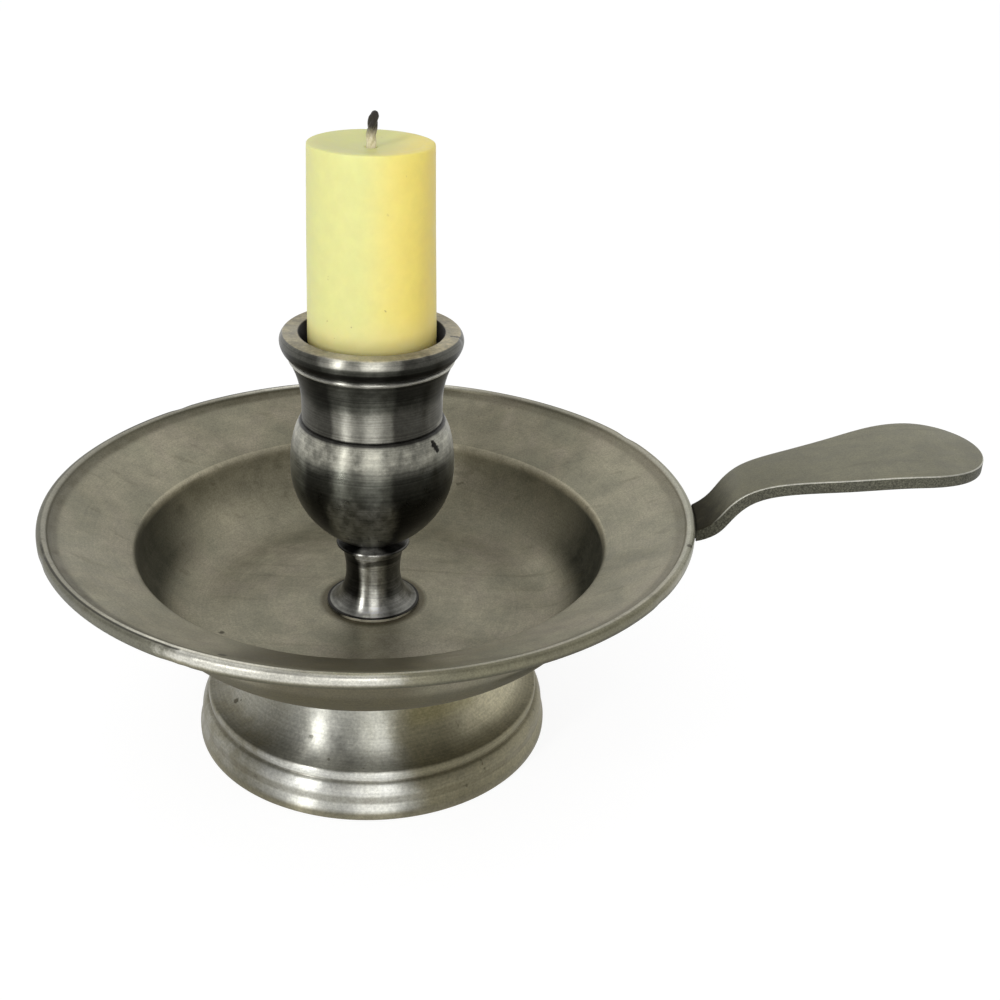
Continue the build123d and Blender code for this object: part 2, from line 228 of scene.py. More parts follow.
def capped_tube(name, grid, low_end, high_end):
    """Makes a tube from rings of points and closes either end with a fan to one point."""
    rows, steps = grid.shape[:2]
    j = np.arange(steps)
    j1, last = (j + 1) % steps, (rows - 1) * steps
    low_fan = np.column_stack([np.full(steps, rows * steps), j1, j])
    high_fan = np.column_stack([np.full(steps, rows * steps + 1), last + j, last + j1])
    points = np.vstack([grid.reshape(-1, 3), [low_end, high_end]])
    fans = np.vstack([low_fan, high_fan])
    return piece_from_arrays(name, points, grid_quads(rows, steps, False, True), fans)


def turned(name, outline, closed=True, sink=None, steps=ROUND_STEPS):
    """Sweeps an outline (r, z) round the axis: x = r cos a, y = r sin a. sink(a, r, z) is how far each
    point lies inside the true form, measured along the outline's normal."""
    a = np.linspace(0, 2 * np.pi, steps, endpoint=False)[None, :]
    r, z = outline[:, :1], outline[:, 1:]
    if sink is not None:
        normal = outline_normals(outline, closed)
        depth = sink(a, r, z)
        r, z = r - depth * normal[:, :1], z - depth * normal[:, 1:]
    r, z, a = np.broadcast_arrays(r, z, a)
    points = np.stack([r * np.cos(a), r * np.sin(a), z], -1)
    if closed:
        return piece_from_arrays(name, points.reshape(-1, 3), grid_quads(len(outline), steps, True, True))
    return capped_tube(name, points[1:-1], (0, 0, outline[0, 1]), (0, 0, outline[-1, 1]))


def lobes(a, waves):
    """Lack of roundness: the sum of depth (1 + cos(count a + phase)) over its waves."""
    return sum(depth * (1 + np.cos(count * a + phase)) for depth, count, phase in waves)


def dings(a, r, z, places):
    """Sum of small round dents: depth exp(-d^2 / 2 w^2), d the distance from the dent's centre."""
    total = 0
    for degrees, at_r, at_z, width, depth in places:
        turn = np.radians(degrees)
        dx, dy = r * np.cos(a) - at_r * np.cos(turn), r * np.sin(a) - at_r * np.sin(turn)
        total = total + depth * np.exp(-0.5 * (dx**2 + dy**2 + (z - at_z) ** 2) / width**2)
    return total


def worn(waves, places):
    """How far a turned piece lies inside its true form: its lobes and its dents."""
    return lambda a, r, z: lobes(a, waves) + dings(a, r, z, places)


# %% [markdown]
# The foot is a hollow pedestal. From the table up it has a plain edge, a toe that flares out to it, a
# rounded moulding, a fine groove, a small bead, and then a long hollow curve that runs into the neck under
# the pan. Inside it follows the same curve at the thickness of the wall. It has been knocked a few times,
# so a handful of shallow dents are sunk into it.

# %% Foot
foot_radius, foot_edge, foot_top, foot_wall = 33.0, 1.4, 23.6, 1.8
toe_radius, toe_top, toe_middle = 32.35, 3.4, (32.595, 2.4)
moulding_radius, moulding_top, moulding_middle = 31.5, 6.8, (32.345, 5.1)
groove_radius, bead_low, bead_high, bead_middle = 30.95, 7.05, 8.95, (31.2, 8.0)
hollow_radius, hollow_top, neck_radius = 30.55, 17.45, 24.4
hollow_width, hollow_height = hollow_radius - neck_radius, hollow_top - bead_high

foot_outline = worn_outline(
    straight((foot_radius - foot_wall, 0), (foot_radius, 0), (foot_radius, foot_edge)),
    arc_through((foot_radius, foot_edge), toe_middle, (toe_radius, toe_top)),
    arc_through((toe_radius, toe_top), moulding_middle, (moulding_radius, moulding_top)),
    straight((groove_radius, moulding_top), (groove_radius, bead_low)),
    arc_through((groove_radius, bead_low), bead_middle, (groove_radius, bead_high)),
    quarter_oval((hollow_radius, hollow_top), hollow_width, hollow_height, 270, -90),
    straight((neck_radius, foot_top), (neck_radius - foot_wall, foot_top)),
    quarter_oval((hollow_radius - foot_wall, hollow_top), hollow_width, hollow_height + foot_wall, 180, 90),
    wear=0.26,
)
foot_lobes = [(0.03, 2, 0.6), (0.02, 3, 0.0)]
foot_dings = [
    (-124, 24.8, 19.5, 1.2, 0.10), (-128, 25.0, 18.6, 0.8, 0.08), (-96, 25.6, 12.6, 2.5, 0.06),
    (-60, 30.6, 8.0, 1.6, 0.08), (-108, 32.2, 4.2, 2.2, 0.07), (-40, 32.4, 3.2, 1.5, 0.09),
    (70, 32.3, 3.8, 2.0, 0.10),
]
foot = turned("foot_pedestal", foot_outline, sink=worn(foot_lobes, foot_dings))

# %% [markdown]
# The pan is one spun sheet: a flat floor, a well wall that curves up steeply, a sloping rim and a raised
# edge. Spun sheet keeps the shape of its former only roughly, so the rim waves by a tenth of a millimetre
# and its edge has small dings. The hole for the tie screw is hidden under the stem, but it is there.

# %% Pan
pan_radius, pan_floor, pan_under = 58.0, 25.2, 23.6
well_radius, well_edge, well_bend = 41.9, 39.3, 12.5
rim_angle, edge_radius, edge_round, edge_step = math.radians(24.3), 56.0, 0.7, 0.75
screw_hole, arris_run = 2.8, 1.0
sheet = pan_floor - pan_under
rim_slope = math.tan(rim_angle)
rim_top = well_edge + (edge_radius - well_radius) * rim_slope
edge_crest = rim_top + edge_step
edge_bottom = rim_top - sheet / math.cos(rim_angle)
well_outside = well_radius + sheet
bend_centre = (well_radius - well_bend, pan_floor + well_bend)
down_rim = (-math.cos(rim_angle), -math.sin(rim_angle))

pan_outline = worn_outline(
    straight((screw_hole, pan_under), (bend_centre[0], pan_under)),
    quarter_oval(bend_centre, well_bend + sheet, well_bend + sheet, 270, 90),
    straight(
        (well_outside, edge_bottom - (edge_radius - well_outside) * rim_slope),
        (edge_radius, edge_bottom),
        (pan_radius - edge_round, edge_bottom),
    ),
    quarter_oval((pan_radius - edge_round, edge_bottom + edge_round), edge_round, edge_round, 270, 90),
    quarter_oval((pan_radius - edge_round, edge_crest - edge_round), edge_round, edge_round, 0, 90),
    quarter_oval((edge_radius + edge_round, edge_crest - edge_round), edge_round, edge_round, 90, 90),
    straight((edge_radius, rim_top)),
    tangent_arc(
        (well_radius - arris_run * down_rim[0], well_edge - arris_run * down_rim[1]), down_rim,
        (well_radius, well_edge - arris_run),
    ),
    quarter_oval(bend_centre, well_bend, well_bend, 0, -90),
    straight((screw_hole, pan_floor)),
    wear=0.22,
    stride=1.7,
)
pan_dings = [
    (-114, 57.8, 45.2, 0.9, 0.22), (-111.5, 58.0, 44.8, 0.6, 0.20), (-108, 57.9, 45.6, 0.5, 0.12),
    (-152, 57.7, 45.6, 1.3, 0.15), (-30, 57.8, 45.2, 1.1, 0.16), (35, 57.6, 45.8, 1.5, 0.18),
    (140, 57.7, 45.4, 1.2, 0.20), (-120, 50.0, 43.0, 3.5, 0.10), (160, 49.0, 42.6, 5.0, 0.12),
    (55, 50.5, 43.2, 4.0, 0.10), (-80, 34.0, 25.6, 4.5, 0.10), (20, 25.0, 25.2, 5.0, 0.12),
    (110, 30.0, 25.2, 6.0, 0.12), (-150, 26.0, 25.2, 5.0, 0.10),
]
pan_lobes, wave_reach = [(0.05, 2, 1.1), (0.05, 5, -0.4)], 8.0


def pan_sink(a, r, z):
    """Lobes that set in near the edge and grow with the radius squared, and the dents."""
    growth = (r / pan_radius) ** 2 * np.clip((r - edge_radius + wave_reach) / wave_reach, 0, 1)
    return lobes(a, pan_lobes) * growth + dings(a, r, z, pan_dings)


pan = turned("drip_pan", pan_outline, sink=pan_sink)

# %% [markdown]
# The socket is three castings. The stem is a waisted spool that stands on the pan's floor. The bulb sits on
# the stem's collar, tapped from below for the tie screw and bored from above. The cup stands in that bore by
# a spigot, and the crisp dark line under it is the seam between the two, darkened on both castings with a
# painted shadow.

# %% Stem
stem_top, stem_waist, stem_collar = 38.0, 32.0, 37.5
stem_base, stem_neck, collar_radius = 8.5, 4.95, 6.65
stem_edge, collar_chamfer = pan_floor + 0.6, 0.2

stem_outline = worn_outline(
    straight((screw_hole, pan_floor), (stem_base, pan_floor), (stem_base, stem_edge)),
    quarter_oval((stem_base, stem_waist), stem_base - stem_neck, stem_waist - stem_edge, 270, -90),
    quarter_oval((collar_radius, stem_waist), collar_radius - stem_neck, stem_collar - stem_waist, 180, -90),
    straight((collar_radius, stem_top - collar_chamfer), (collar_radius - collar_chamfer, stem_top)),
    straight((screw_hole, stem_top)),
    wear=0.07, stride=0.5, bend=6.0,
)
stem = turned("socket_stem", stem_outline, steps=192)

# %% Bulb
bulb_seat, bulb_radius, bulb_widest, bulb_top, bulb_mouth = 3.9, 14.5, 53.0, 62.1, 12.6
bulb_belly, seat_slope, shoulder_slope = (12.147, 45.035), (1, 0.52), (-0.6, 1)
spigot_bore, socket_floor = 12.0, 56.1
tapped_radius, tapped_top = 2.55, 48.5

bulb_outline = worn_outline(
    straight((0, tapped_top), (tapped_radius, tapped_top), (tapped_radius, stem_top)),
    fair_curve([(bulb_seat, stem_top), bulb_belly, (bulb_radius, bulb_widest)], seat_slope, (0, 1)),
    fair_curve([(bulb_radius, bulb_widest), (bulb_mouth, bulb_top)], (0, 1), shoulder_slope),
    straight((spigot_bore, bulb_top), (spigot_bore, socket_floor), (0, socket_floor)),
    wear=0.07, stride=0.5, bend=5.0, closed=False,
)
bulb_lobes = [(0.006, 2, 0.0)]
bulb_dings = [
    (-42, 14.1, 57.2, 0.55, 0.16), (-45, 14.2, 56.4, 0.35, 0.14), (-73, 14.4, 54.5, 0.9, 0.04),
    (150, 14.2, 50.0, 1.2, 0.06),
]
bulb = turned("socket_bulb", bulb_outline, closed=False, sink=worn(bulb_lobes, bulb_dings), steps=256)

# %% Cup
spigot_radius, spigot_end, bore_radius = 11.95, 56.4, 11.0
cup_waist, waist_top = 12.25, 65.3
ring_radius, ring_low, ring_middle, ring_high = 14.05, 72.95, (14.3, 73.3), 73.65
line_radius, line_top = 13.95, ring_high + 0.15
lip_root, lip_under, lip_radius, lip_low = 14.1, (15.1, 74.725), 15.6, 75.8
lip_side, lip_flat, lip_top, mouth_radius, throat = 77.15, 15.0, 78.0, 12.5, 73.0

cup_outline = worn_outline(
    straight((bore_radius, spigot_end), (spigot_radius, spigot_end)),
    straight((spigot_radius, bulb_top), (cup_waist, bulb_top)),
    tangent_arc((cup_waist, waist_top), (0, 1), (ring_radius, ring_low)),
    arc_through((ring_radius, ring_low), ring_middle, (ring_radius, ring_high)),
    straight((line_radius, ring_high), (line_radius, line_top)),
    arc_through((lip_root, line_top), lip_under, (lip_radius, lip_low)),
    arc_through((lip_radius, lip_low), (lip_radius, lip_side), (lip_flat, lip_top)),
    straight((mouth_radius, lip_top), (bore_radius, throat)),
    wear=0.07, stride=0.6, bend=6.0,
)
cup_lobes = [(0.008, 2, 0.9)]
cup_dings = [
    (-48, 15.3, 77.6, 0.5, 0.10), (-115, 15.5, 77.2, 0.6, 0.08), (-5, 15.4, 77.5, 0.5, 0.12),
    (95, 15.4, 77.4, 0.8, 0.10),
]
cup = turned("socket_cup", cup_outline, sink=worn(cup_lobes, cup_dings), steps=256)

# %% [markdown]
# The handle is a strap, cut to a waisted plan with a round end and then bent. So it is made the same way:
# its plan is one closed loop, and the surface runs from a spine in the middle of the top, out over the
# rounded edge, down the side and back to the spine below. The bend lifts every point by the height of the
# strap's middle line at that place, and the thickness is measured square to that line. Its root is cut to
# the round of the pan. The points on the upper corner are marked with a value of their own, so that the
# finish can rub that corner bright.

# %% Handle strap
handle_reach, handle_rise, root_height, half_thick = 48.2, 15.35, 44.814, 1.15
root_round = pan_radius + 0.05
blade_half, neck_half, root_half, neck_x = 11.5, 6.25, 4.8, 67.98
tip_centre = pan_radius + handle_reach - blade_half

line_shares = [
    (-0.031, -0.055), (0.010, 0.000), (0.059, 0.108), (0.112, 0.322), (0.168, 0.498), (0.226, 0.593),
    (0.308, 0.674), (0.504, 0.822), (0.688, 0.956), (0.871, 1.000), (1.010, 0.990),
]
line_points = np.array(line_shares) * (handle_reach, handle_rise) + (pan_radius, root_height)
middle_line = fair_curve(line_points, count=900)
middle_slope = np.gradient(middle_line[:, 1], middle_line[:, 0])


def strap_height(x, offset):
    """Height of the bent strap: its middle line plus the offset square to it, which measures
    offset sqrt(1 + slope^2) upright."""
    slope = np.interp(x, middle_line[:, 0], middle_slope)
    return np.interp(x, middle_line[:, 0], middle_line[:, 1]) + offset * np.sqrt(1 + slope**2)


plan_start, root_slope, neck_slope = 56.5, (1, 0.35), (1, 0.05)
plan_side = np.vstack([
    fair_curve([(plan_start, root_half), (neck_x, neck_half)], root_slope, neck_slope),
    fair_curve([(neck_x, neck_half), (tip_centre, blade_half)], neck_slope, (1, 0))[1:],
])
plan_side = plan_side[np.hypot(*plan_side.T) > root_round]
plan_tip = quarter_oval((tip_centre, 0), blade_half, blade_half, 90, -180, count=120)[1:-1]
root_half_angle = math.degrees(math.atan2(plan_side[0, 1], plan_side[0, 0]))
plan_root = quarter_oval((0, 0), root_round, root_round, -root_half_angle, 2 * root_half_angle, count=40)
plan_loop = worn_outline(
    plan_side, plan_tip, plan_side[::-1] * (1, -1), plan_root, wear=0.08, stride=0.4, bend=3.0,
)
plan_inward = outline_normals(plan_loop, True)
plan_inward = plan_inward * np.sign((plan_inward * ((tip_centre, 0) - plan_loop)).sum(1).mean())

edge_soft, side_flat, crown = 0.22, 0.25, 0.12
corner = np.radians(np.linspace(0, 90, 6))
side_inset = np.concatenate([edge_soft * (1 - np.sin(corner)), [0, 0], edge_soft * (1 - np.cos(corner))])
side_height = np.concatenate([
    half_thick - edge_soft * (1 - np.cos(corner)),
    [side_flat, -side_flat],
    -half_thick + edge_soft * (1 - np.sin(corner)),
])
spread = np.linspace(0, 1, 9)[:-1]


def strap_rings():
    """Grid of plan points and offsets: spine to edge on top, over the edge, and edge to spine below."""
    spine = np.column_stack([np.clip(plan_loop[:, 0], root_round + 3, tip_centre), np.zeros(len(plan_loop))])
    rim_top_ring = plan_loop + plan_inward * side_inset[0]
    top = spine[:, None] + spread[None, :, None] * (rim_top_ring - spine)[:, None]
    side = plan_loop[:, None] + plan_inward[:, None] * side_inset[None, :, None]
    under = spine[:, None] + spread[None, ::-1, None] * (rim_top_ring - spine)[:, None]
    plan = np.concatenate([top, side, under], 1)
    swell = half_thick - crown * spread**2
    side_offset = side_height - np.where(side_height > side_flat, crown, 0)
    offset = np.concatenate([swell, side_offset, np.full(len(spread), -half_thick)])
    return plan, np.broadcast_to(offset, plan.shape[:2])


strap_plan, strap_offset = strap_rings()
hand_depth, hand_long, hand_wide, hand_phase = 0.05, 5.1, 3.7, 0.8
strap_x, strap_y = strap_plan[..., 0], strap_plan[..., 1]
hand_wave = hand_depth * np.sin(strap_x / hand_long) * np.sin(strap_y / hand_wide + hand_phase)
strap_points = np.stack([strap_x, strap_y, strap_height(strap_x, strap_offset + hand_wave)], -1)
strap_quads = grid_quads(*strap_plan.shape[:2], True, False)
strap = piece_from_arrays("handle_strap", strap_points.reshape(-1, 3), strap_quads)
top_corner = len(spread) + np.arange(len(corner))
rubbed = np.zeros(strap_plan.shape[:2])
rubbed[:, top_corner] = np.sin(np.linspace(0, np.pi, len(corner)))
rubbed_edge = strap.data.attributes.new("rubbed_edge", "FLOAT", "POINT")
rubbed_edge.data.foreach_set("value", rubbed.astype(np.float32).ravel())


def close_seams(piece, reach=0.002):
    """Merges points that lie on each other, such as both sides of a spine, and turns faces outwards."""
    shell = bmesh.new()
    shell.from_mesh(piece.data)
    bmesh.ops.remove_doubles(shell, verts=shell.verts, dist=reach * MM)
    bmesh.ops.dissolve_degenerate(shell, edges=shell.edges, dist=reach * MM / 10)
    bmesh.ops.recalc_face_normals(shell, faces=shell.faces)
    shell.to_mesh(piece.data)
    shell.free()
    print(f"{piece.name}: {len(piece.data.vertices)} points after its seams were closed")


close_seams(strap)

# %% [markdown]
# A narrower tongue of the strap laps under the rim, where solder holds it. Its section is a bent strip that
# follows the rim's underside, with a heel that slopes up into the strap outside the pan's edge, and each
# slice across it lies on the round of the pan: the slice at y has x = sqrt(r^2 - y^2).

# %% Handle tongue and the two solder fillets
tongue_half, tongue_inner, tongue_outer, tongue_thick, solder_film = 3.4, 46.5, 59.2, 0.8, 0.05
heel_outer, heel_top = 60.84, 46.47


def rim_under(r):
    """Height of the rim's underside at a radius."""
    return edge_bottom - (edge_radius - r) * rim_slope


def lapped_strip(name, outline, half_width, ends, slices=25):
    """Carries a section (r, z) across the rim from -half_width to half_width and closes both ends."""
    y = half_width * np.sin(np.linspace(-np.pi / 2, np.pi / 2, slices))
    swell = np.clip((half_width - np.abs(y)) / (half_width / ends), 0, 1) ** 0.25
    middle = outline.mean(0)
    section = middle + (outline - middle)[None] * swell[:, None, None]
    r, z = section[..., 0], section[..., 1]
    across = np.broadcast_to(y[:, None], r.shape)
    points = np.stack([np.sqrt(r**2 - across**2), across, z], -1)
    piece = piece_from_arrays(name, points.reshape(-1, 3), grid_quads(slices, len(outline), False, True))
    close_seams(piece)
    return piece


lap_top, inner_top = edge_bottom - solder_film, rim_under(tongue_inner) - solder_film
tongue_outline = worn_outline(
    straight(
        (tongue_inner, inner_top), (tongue_inner, inner_top - tongue_thick),
        (edge_radius, lap_top - tongue_thick), (tongue_outer, lap_top - tongue_thick),
        (heel_outer, heel_top), (root_round, root_height), (root_round, lap_top), (edge_radius, lap_top),
    ),
    wear=0.12, stride=0.8,
)
tongue = lapped_strip("handle_tongue", tongue_outline, tongue_half, ends=40)

fillet_leg, fillet_bow, fillet_set_in = 1.4, (0.42, 0.62), 0.2
fillet_outer = tongue_inner - solder_film
fillet_inner = fillet_outer - fillet_leg
fillet_top, fillet_end = rim_under(fillet_outer) - solder_film, rim_under(fillet_inner) - solder_film
fillet_outline = worn_outline(
    straight((fillet_outer, fillet_top), (fillet_inner, fillet_end)),
    arc_through(
        (fillet_inner, fillet_end),
        (fillet_outer - fillet_bow[0] * fillet_leg, rim_under(fillet_outer) - fillet_bow[1] * fillet_leg),
        (fillet_outer, fillet_top - fillet_leg),
    ),
    wear=0.06, stride=0.25,
)
handle_fillet = lapped_strip("handle_fillet", fillet_outline, tongue_half - fillet_set_in, ends=6)

ring_leg, ring_bow, ring_gap = 1.38, (0.40, 0.45), 0.02
ring_inner, ring_top = neck_radius + solder_film, pan_under - ring_gap
foot_fillet_outline = worn_outline(
    straight((ring_inner, pan_under - ring_leg)),
    arc_through(
        (ring_inner, pan_under - ring_leg),
        (ring_inner + ring_bow[0] * ring_leg, pan_under - ring_bow[1] * ring_leg),
        (ring_inner + ring_leg, ring_top),
    ),
    straight((ring_inner, ring_top)),
    wear=0.06, stride=0.3,
)


def fillet_sink(a, r, z):
    """Solder that flowed unevenly round the joint: a few slow waves."""
    return lobes(a, [(0.06, 7, 0.4)]) * (1 + 0.5 * np.cos(3 * a))


foot_fillet = turned("foot_fillet", foot_fillet_outline, sink=fillet_sink)

# %% [markdown]
# The candle is a plain stub pushed into the socket: its butt is pared to a taper, its flank is nearly
# straight, and its top is flat with a shallow pool round the wick. Dipped wax is never quite round, so its
# flank swells and shrinks by under a tenth of a millimetre. The wick is a cord of three twisted strands
# with a charred end.

# %% Candle
candle_low, candle_top, candle_butt, candle_throat = 56.1, 109.6, 9.9, 10.75
candle_shoulder, shoulder_height, candle_tip = 10.98, 76.6, 10.42
pool_radius, pool_floor, pool_slope, wick_hole = 8.82, 108.8, (-1, -0.2), 0.95

candle_outline = worn_outline(
    straight(
        (wick_hole, candle_low), (candle_butt, candle_low), (candle_throat, throat),
        (candle_shoulder, shoulder_height), (candle_tip, candle_top), (pool_radius, candle_top),
    ),
    tangent_arc((pool_radius, candle_top), pool_slope, (wick_hole, pool_floor)),
    wear=0.25, stride=0.7, bend=6.0,
)
flank_inner = 3.0
candle_dings = [(-60, 10.8, 84.0, 1.2, 0.06), (-118, 10.7, 95.0, 1.6, 0.05), (60, 10.7, 90.0, 1.5, 0.08)]


def candle_sink(a, r, z):
    """Slow swells up the flank, lobes whose phase turns with the height, and a few soft dents."""
    swells = lobes(a, [(0.03, 2, z / 9.0), (0.02, 3, -z / 5.0)])
    return swells * (r > flank_inner) + dings(a, r, z, candle_dings)


candle = turned("candle_stub", candle_outline, sink=candle_sink, steps=224)

# %% Wick
wick_low, wick_top, wick_bare, wick_sides = 57.1, 114.5, 107.0, 36
strand_core, strand_swell, strand_turn, strand_share = 0.62, 0.24, 0.9, 1.5
tip_length, tip_share, tip_dome = 0.9, 0.25, 0.08
lean_start, lean_rate, lean_power, lean_aside = 109.5, 0.05, 1.6, 0.3

wick_rows = np.concatenate([np.linspace(wick_low, wick_bare, 40), np.linspace(wick_bare + 0.2, wick_top, 90)])
wick_rows = wick_rows[:, None]
wick_angle = np.linspace(0, 2 * np.pi, wick_sides, endpoint=False)[None, :]
strand_twist = strand_share * (wick_angle - wick_rows * strand_turn)
wick_taper = np.clip((wick_top - wick_rows) / tip_length, 0, 1) ** 0.5
wick_radius = strand_core + strand_swell * np.abs(np.cos(strand_twist))
wick_radius = wick_radius * (tip_share + (1 - tip_share) * wick_taper)
wick_lean = lean_rate * np.clip(wick_rows - lean_start, 0, None) ** lean_power
wick_points = np.stack([
    wick_radius * np.cos(wick_angle) + wick_lean,
    wick_radius * np.sin(wick_angle) - lean_aside * wick_lean,
    wick_rows + 0 * wick_angle,
], -1)
wick_tip = wick_points[-1].mean(0) + (0, 0, tip_dome)
wick = capped_tube("candle_wick", wick_points, wick_points[0].mean(0), wick_tip)

# %% [markdown]
# Each new piece stands for a node of the imported model and moves with that node's body, and the node itself
# is hidden. The screw and the washer inside the foot keep their imported shapes.

# %% Tie the pieces to the frame
stands_for = {
    "foot": (foot, "holder", "pewter"), "pan": (pan, "holder", "pewter"),
    "stem": (stem, "holder", "socket_pewter"), "bulb": (bulb, "holder", "socket_pewter"),
    "cup": (cup, "holder", "socket_pewter"), "handle": (strap, "holder", "handle_pewter"),
    "handle_solder": (handle_fillet, "holder", "solder"), "foot_solder": (foot_fillet, "holder", "solder"),
    "candle": (candle, "candle", "wax"), "wick": (wick, "candle", "wick_cotton"),
}
for node_name, (piece, body, slot_name) in stands_for.items():
    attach(piece, body)
    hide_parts(node_name)
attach(tongue, "holder")
print("pieces", sorted(pieces_made))

# %% [markdown]
# The finishes are built from nodes on Object coordinates, so they stay put on the piece from every side.
# Blender gives those in metres, and they are turned into millimetres first, like every other length in this
# file. A finish starts with one colour, and coats are laid over it where their masks say. A mask is a value
# from nought to one: a smooth step between two places, a band, a cloud of noise, or the product of several.

# %% Helpers for finishes


class Nodes:
    """A node tree, with short names for the sums that masks are made from."""

    def __init__(self, owner):
        owner.use_nodes = True
        self.tree = owner.node_tree
        self.tree.nodes.clear()

    def add(self, kind, inputs=None, **settings):
        """Adds a node, sets its options, and sets or links its inputs."""
        made = self.tree.nodes.new(kind)
        for key, value in settings.items():
            setattr(made, key, value)
        for socket, value in (inputs or {}).items():
            if isinstance(value, bpy.types.NodeSocket):
                self.tree.links.new(value, made.inputs[socket])
            else:
                made.inputs[socket].default_value = value
        return made

    def reckon(self, operation, first, second=0.0, third=0.0):
        """One sum on values."""
        return self.add("ShaderNodeMath", {0: first, 1: second, 2: third}, operation=operation).outputs[0]

    def times(self, *values):
        """The product of values."""
        return reduce(partial(self.reckon, "MULTIPLY"), values)

    def most(self, *values):
        """The largest of values."""
        return reduce(partial(self.reckon, "MAXIMUM"), values)

    def plus(self, value, more, share=1.0):
        """A value with a share of another added to it."""
        return self.reckon("MULTIPLY_ADD", more, share, value)

    def step(self, value, low, high, to_low=0.0, to_high=1.0):
        """A smooth step: to_low below low, to_high above high."""
        inputs = {"Value": value, "From Min": low, "From Max": high, "To Min": to_low, "To Max": to_high}
        return self.add("ShaderNodeMapRange", inputs, interpolation_type="SMOOTHSTEP").outputs["Result"]

    def band(self, value, low, high, soft):
        """One between low and high, falling to nought over soft on either side."""
        return self.times(self.step(value, low - soft, low), self.step(value, high, high + soft, 1.0, 0.0))


class Finish(Nodes):
    """A material with one Principled shader, the places that its masks use, and its colour so far. The
    bearing says how far round the axis a point lies: x over radius, so -1 is far left, 0 is front or back,
    1 is the handle's side."""

    def __init__(self, name, base, **fixed):
        self.material = bpy.data.materials.new(name)
        super().__init__(self.material)
        self.colour = base
        constants = {key.replace("_", " "): value for key, value in fixed.items()}
        self.shader = self.add("ShaderNodeBsdfPrincipled", constants)
        self.add("ShaderNodeOutputMaterial", {"Surface": self.shader.outputs["BSDF"]})
        metres = self.add("ShaderNodeTexCoord").outputs["Object"]
        self.place = self.scaled(metres, 1 / MM)
        self.x, self.y, self.z = self.add("ShaderNodeSeparateXYZ", {0: self.place}).outputs
        flat = self.add("ShaderNodeCombineXYZ", {0: self.x, 1: self.y}).outputs[0]
        self.radius = self.add("ShaderNodeVectorMath", {0: flat}, operation="LENGTH").outputs["Value"]
        self.bearing = self.reckon("DIVIDE", self.x, self.most(self.radius, 0.1))

    def scaled(self, vector, amount):
        """A vector or a colour times a factor."""
        return self.add("ShaderNodeVectorMath", {0: vector, "Scale": amount}, operation="SCALE").outputs[0]

    def blend(self, base, over, *masks):
        """One colour over another, as strongly as the product of the masks."""
        base, over = (c if isinstance(c, bpy.types.NodeSocket) else (*c, 1) for c in (base, over))
        inputs = {0: self.times(*masks), 6: base, 7: over}
        return self.add("ShaderNodeMix", inputs, data_type="RGBA").outputs[2]

    def lay(self, over, *masks):
        """Lays one more coat over the colour so far."""
        self.colour = self.blend(self.colour, over, *masks)

    def clouds(self, scale, detail=4.0, rough=0.55, warp=0.0, place=None):
        """Soft noise from nought to one; scale is in lumps per millimetre."""
        place = self.place if place is None else place
        inputs = {"Vector": place, "Scale": scale, "Detail": detail, "Roughness": rough, "Distortion": warp}
        return self.add("ShaderNodeTexNoise", inputs).outputs["Fac"]

    def vary(self, noise, low, high):
        """Noise spread out so that it runs from low to high."""
        return self.step(noise, 0.2, 0.8, low, high)

    def stray(self, value, noise, reach):
        """A value that wanders with noise by up to half of reach either way."""
        return self.plus(value, self.reckon("SUBTRACT", noise, 0.5), reach)

    def rings(self, along, scale):
        """Lathe rings: noise in one dimension along the outline, nudged by soft noise."""
        nudged = self.plus(along, self.clouds(0.09, 2.0), 0.6)
        inputs = {"W": nudged, "Scale": scale, "Detail": 3.0, "Roughness": 0.65}
        return self.add("ShaderNodeTexNoise", inputs, noise_dimensions="1D").outputs["Fac"]

    def scuffs(self, degrees, scale):
        """Fine scuffs that all run one way: noise drawn out twentyfold along it and cut off low."""
        turn = (0.0, 0.0, math.radians(degrees))
        inputs = {"Vector": self.place, "Rotation": turn, "Scale": (0.05, 1.0, 1.0)}
        drawn_out = self.add("ShaderNodeMapping", inputs).outputs[0]
        return self.step(self.clouds(scale, 2.0, 0.5, 0.2, drawn_out), 0.60, 0.74)

    def marks(self, noise, spots):
        """One on each single mark, nought elsewhere: a mark is x, y, z and radius, with a frayed rim."""
        found = 0.0
        for *centre, size in spots:
            inputs = {0: self.place, 1: centre}
            away = self.add("ShaderNodeVectorMath", inputs, operation="DISTANCE").outputs["Value"]
            away = self.stray(away, noise, 2.2 * size)
            found = self.most(self.step(away, 0.5 * size, size, 1.0, 0.0), found)
        return found

    def upward(self):
        """How far a face looks up: 1 for a level top, 0 for a side, -1 for an underside."""
        normal = self.add("ShaderNodeNewGeometry").outputs["Normal"]
        return self.add("ShaderNodeSeparateXYZ", {0: normal}).outputs[2]

    def put_on(self, pieces, shade, rough, reliefs, metal=None):
        """Links colour times shade, roughness, relief and metal to the shader, and gives pieces the
        material. A relief is a height map and its depth, and each is laid over those before it."""
        linked = {"Base Color": self.scaled(self.colour, shade), "Roughness": rough}
        if metal is not None:
            linked["Metallic"] = metal
        for height, depth in reliefs:
            inputs = {"Height": height, "Distance": depth * MM, "Strength": 1.0}
            if "Normal" in linked:
                inputs["Normal"] = linked["Normal"]
            linked["Normal"] = self.add("ShaderNodeBump", inputs).outputs["Normal"]
        for socket, value in linked.items():
            self.tree.links.new(value, self.shader.inputs[socket])
        for piece in pieces:
            wear_into(piece, self.material)
        print("finish", self.material.name, len(self.tree.nodes), "nodes")


def wear_into(piece, material):
    """Gives a piece one material."""
    piece.data.materials.clear()
    piece.data.materials.append(material)
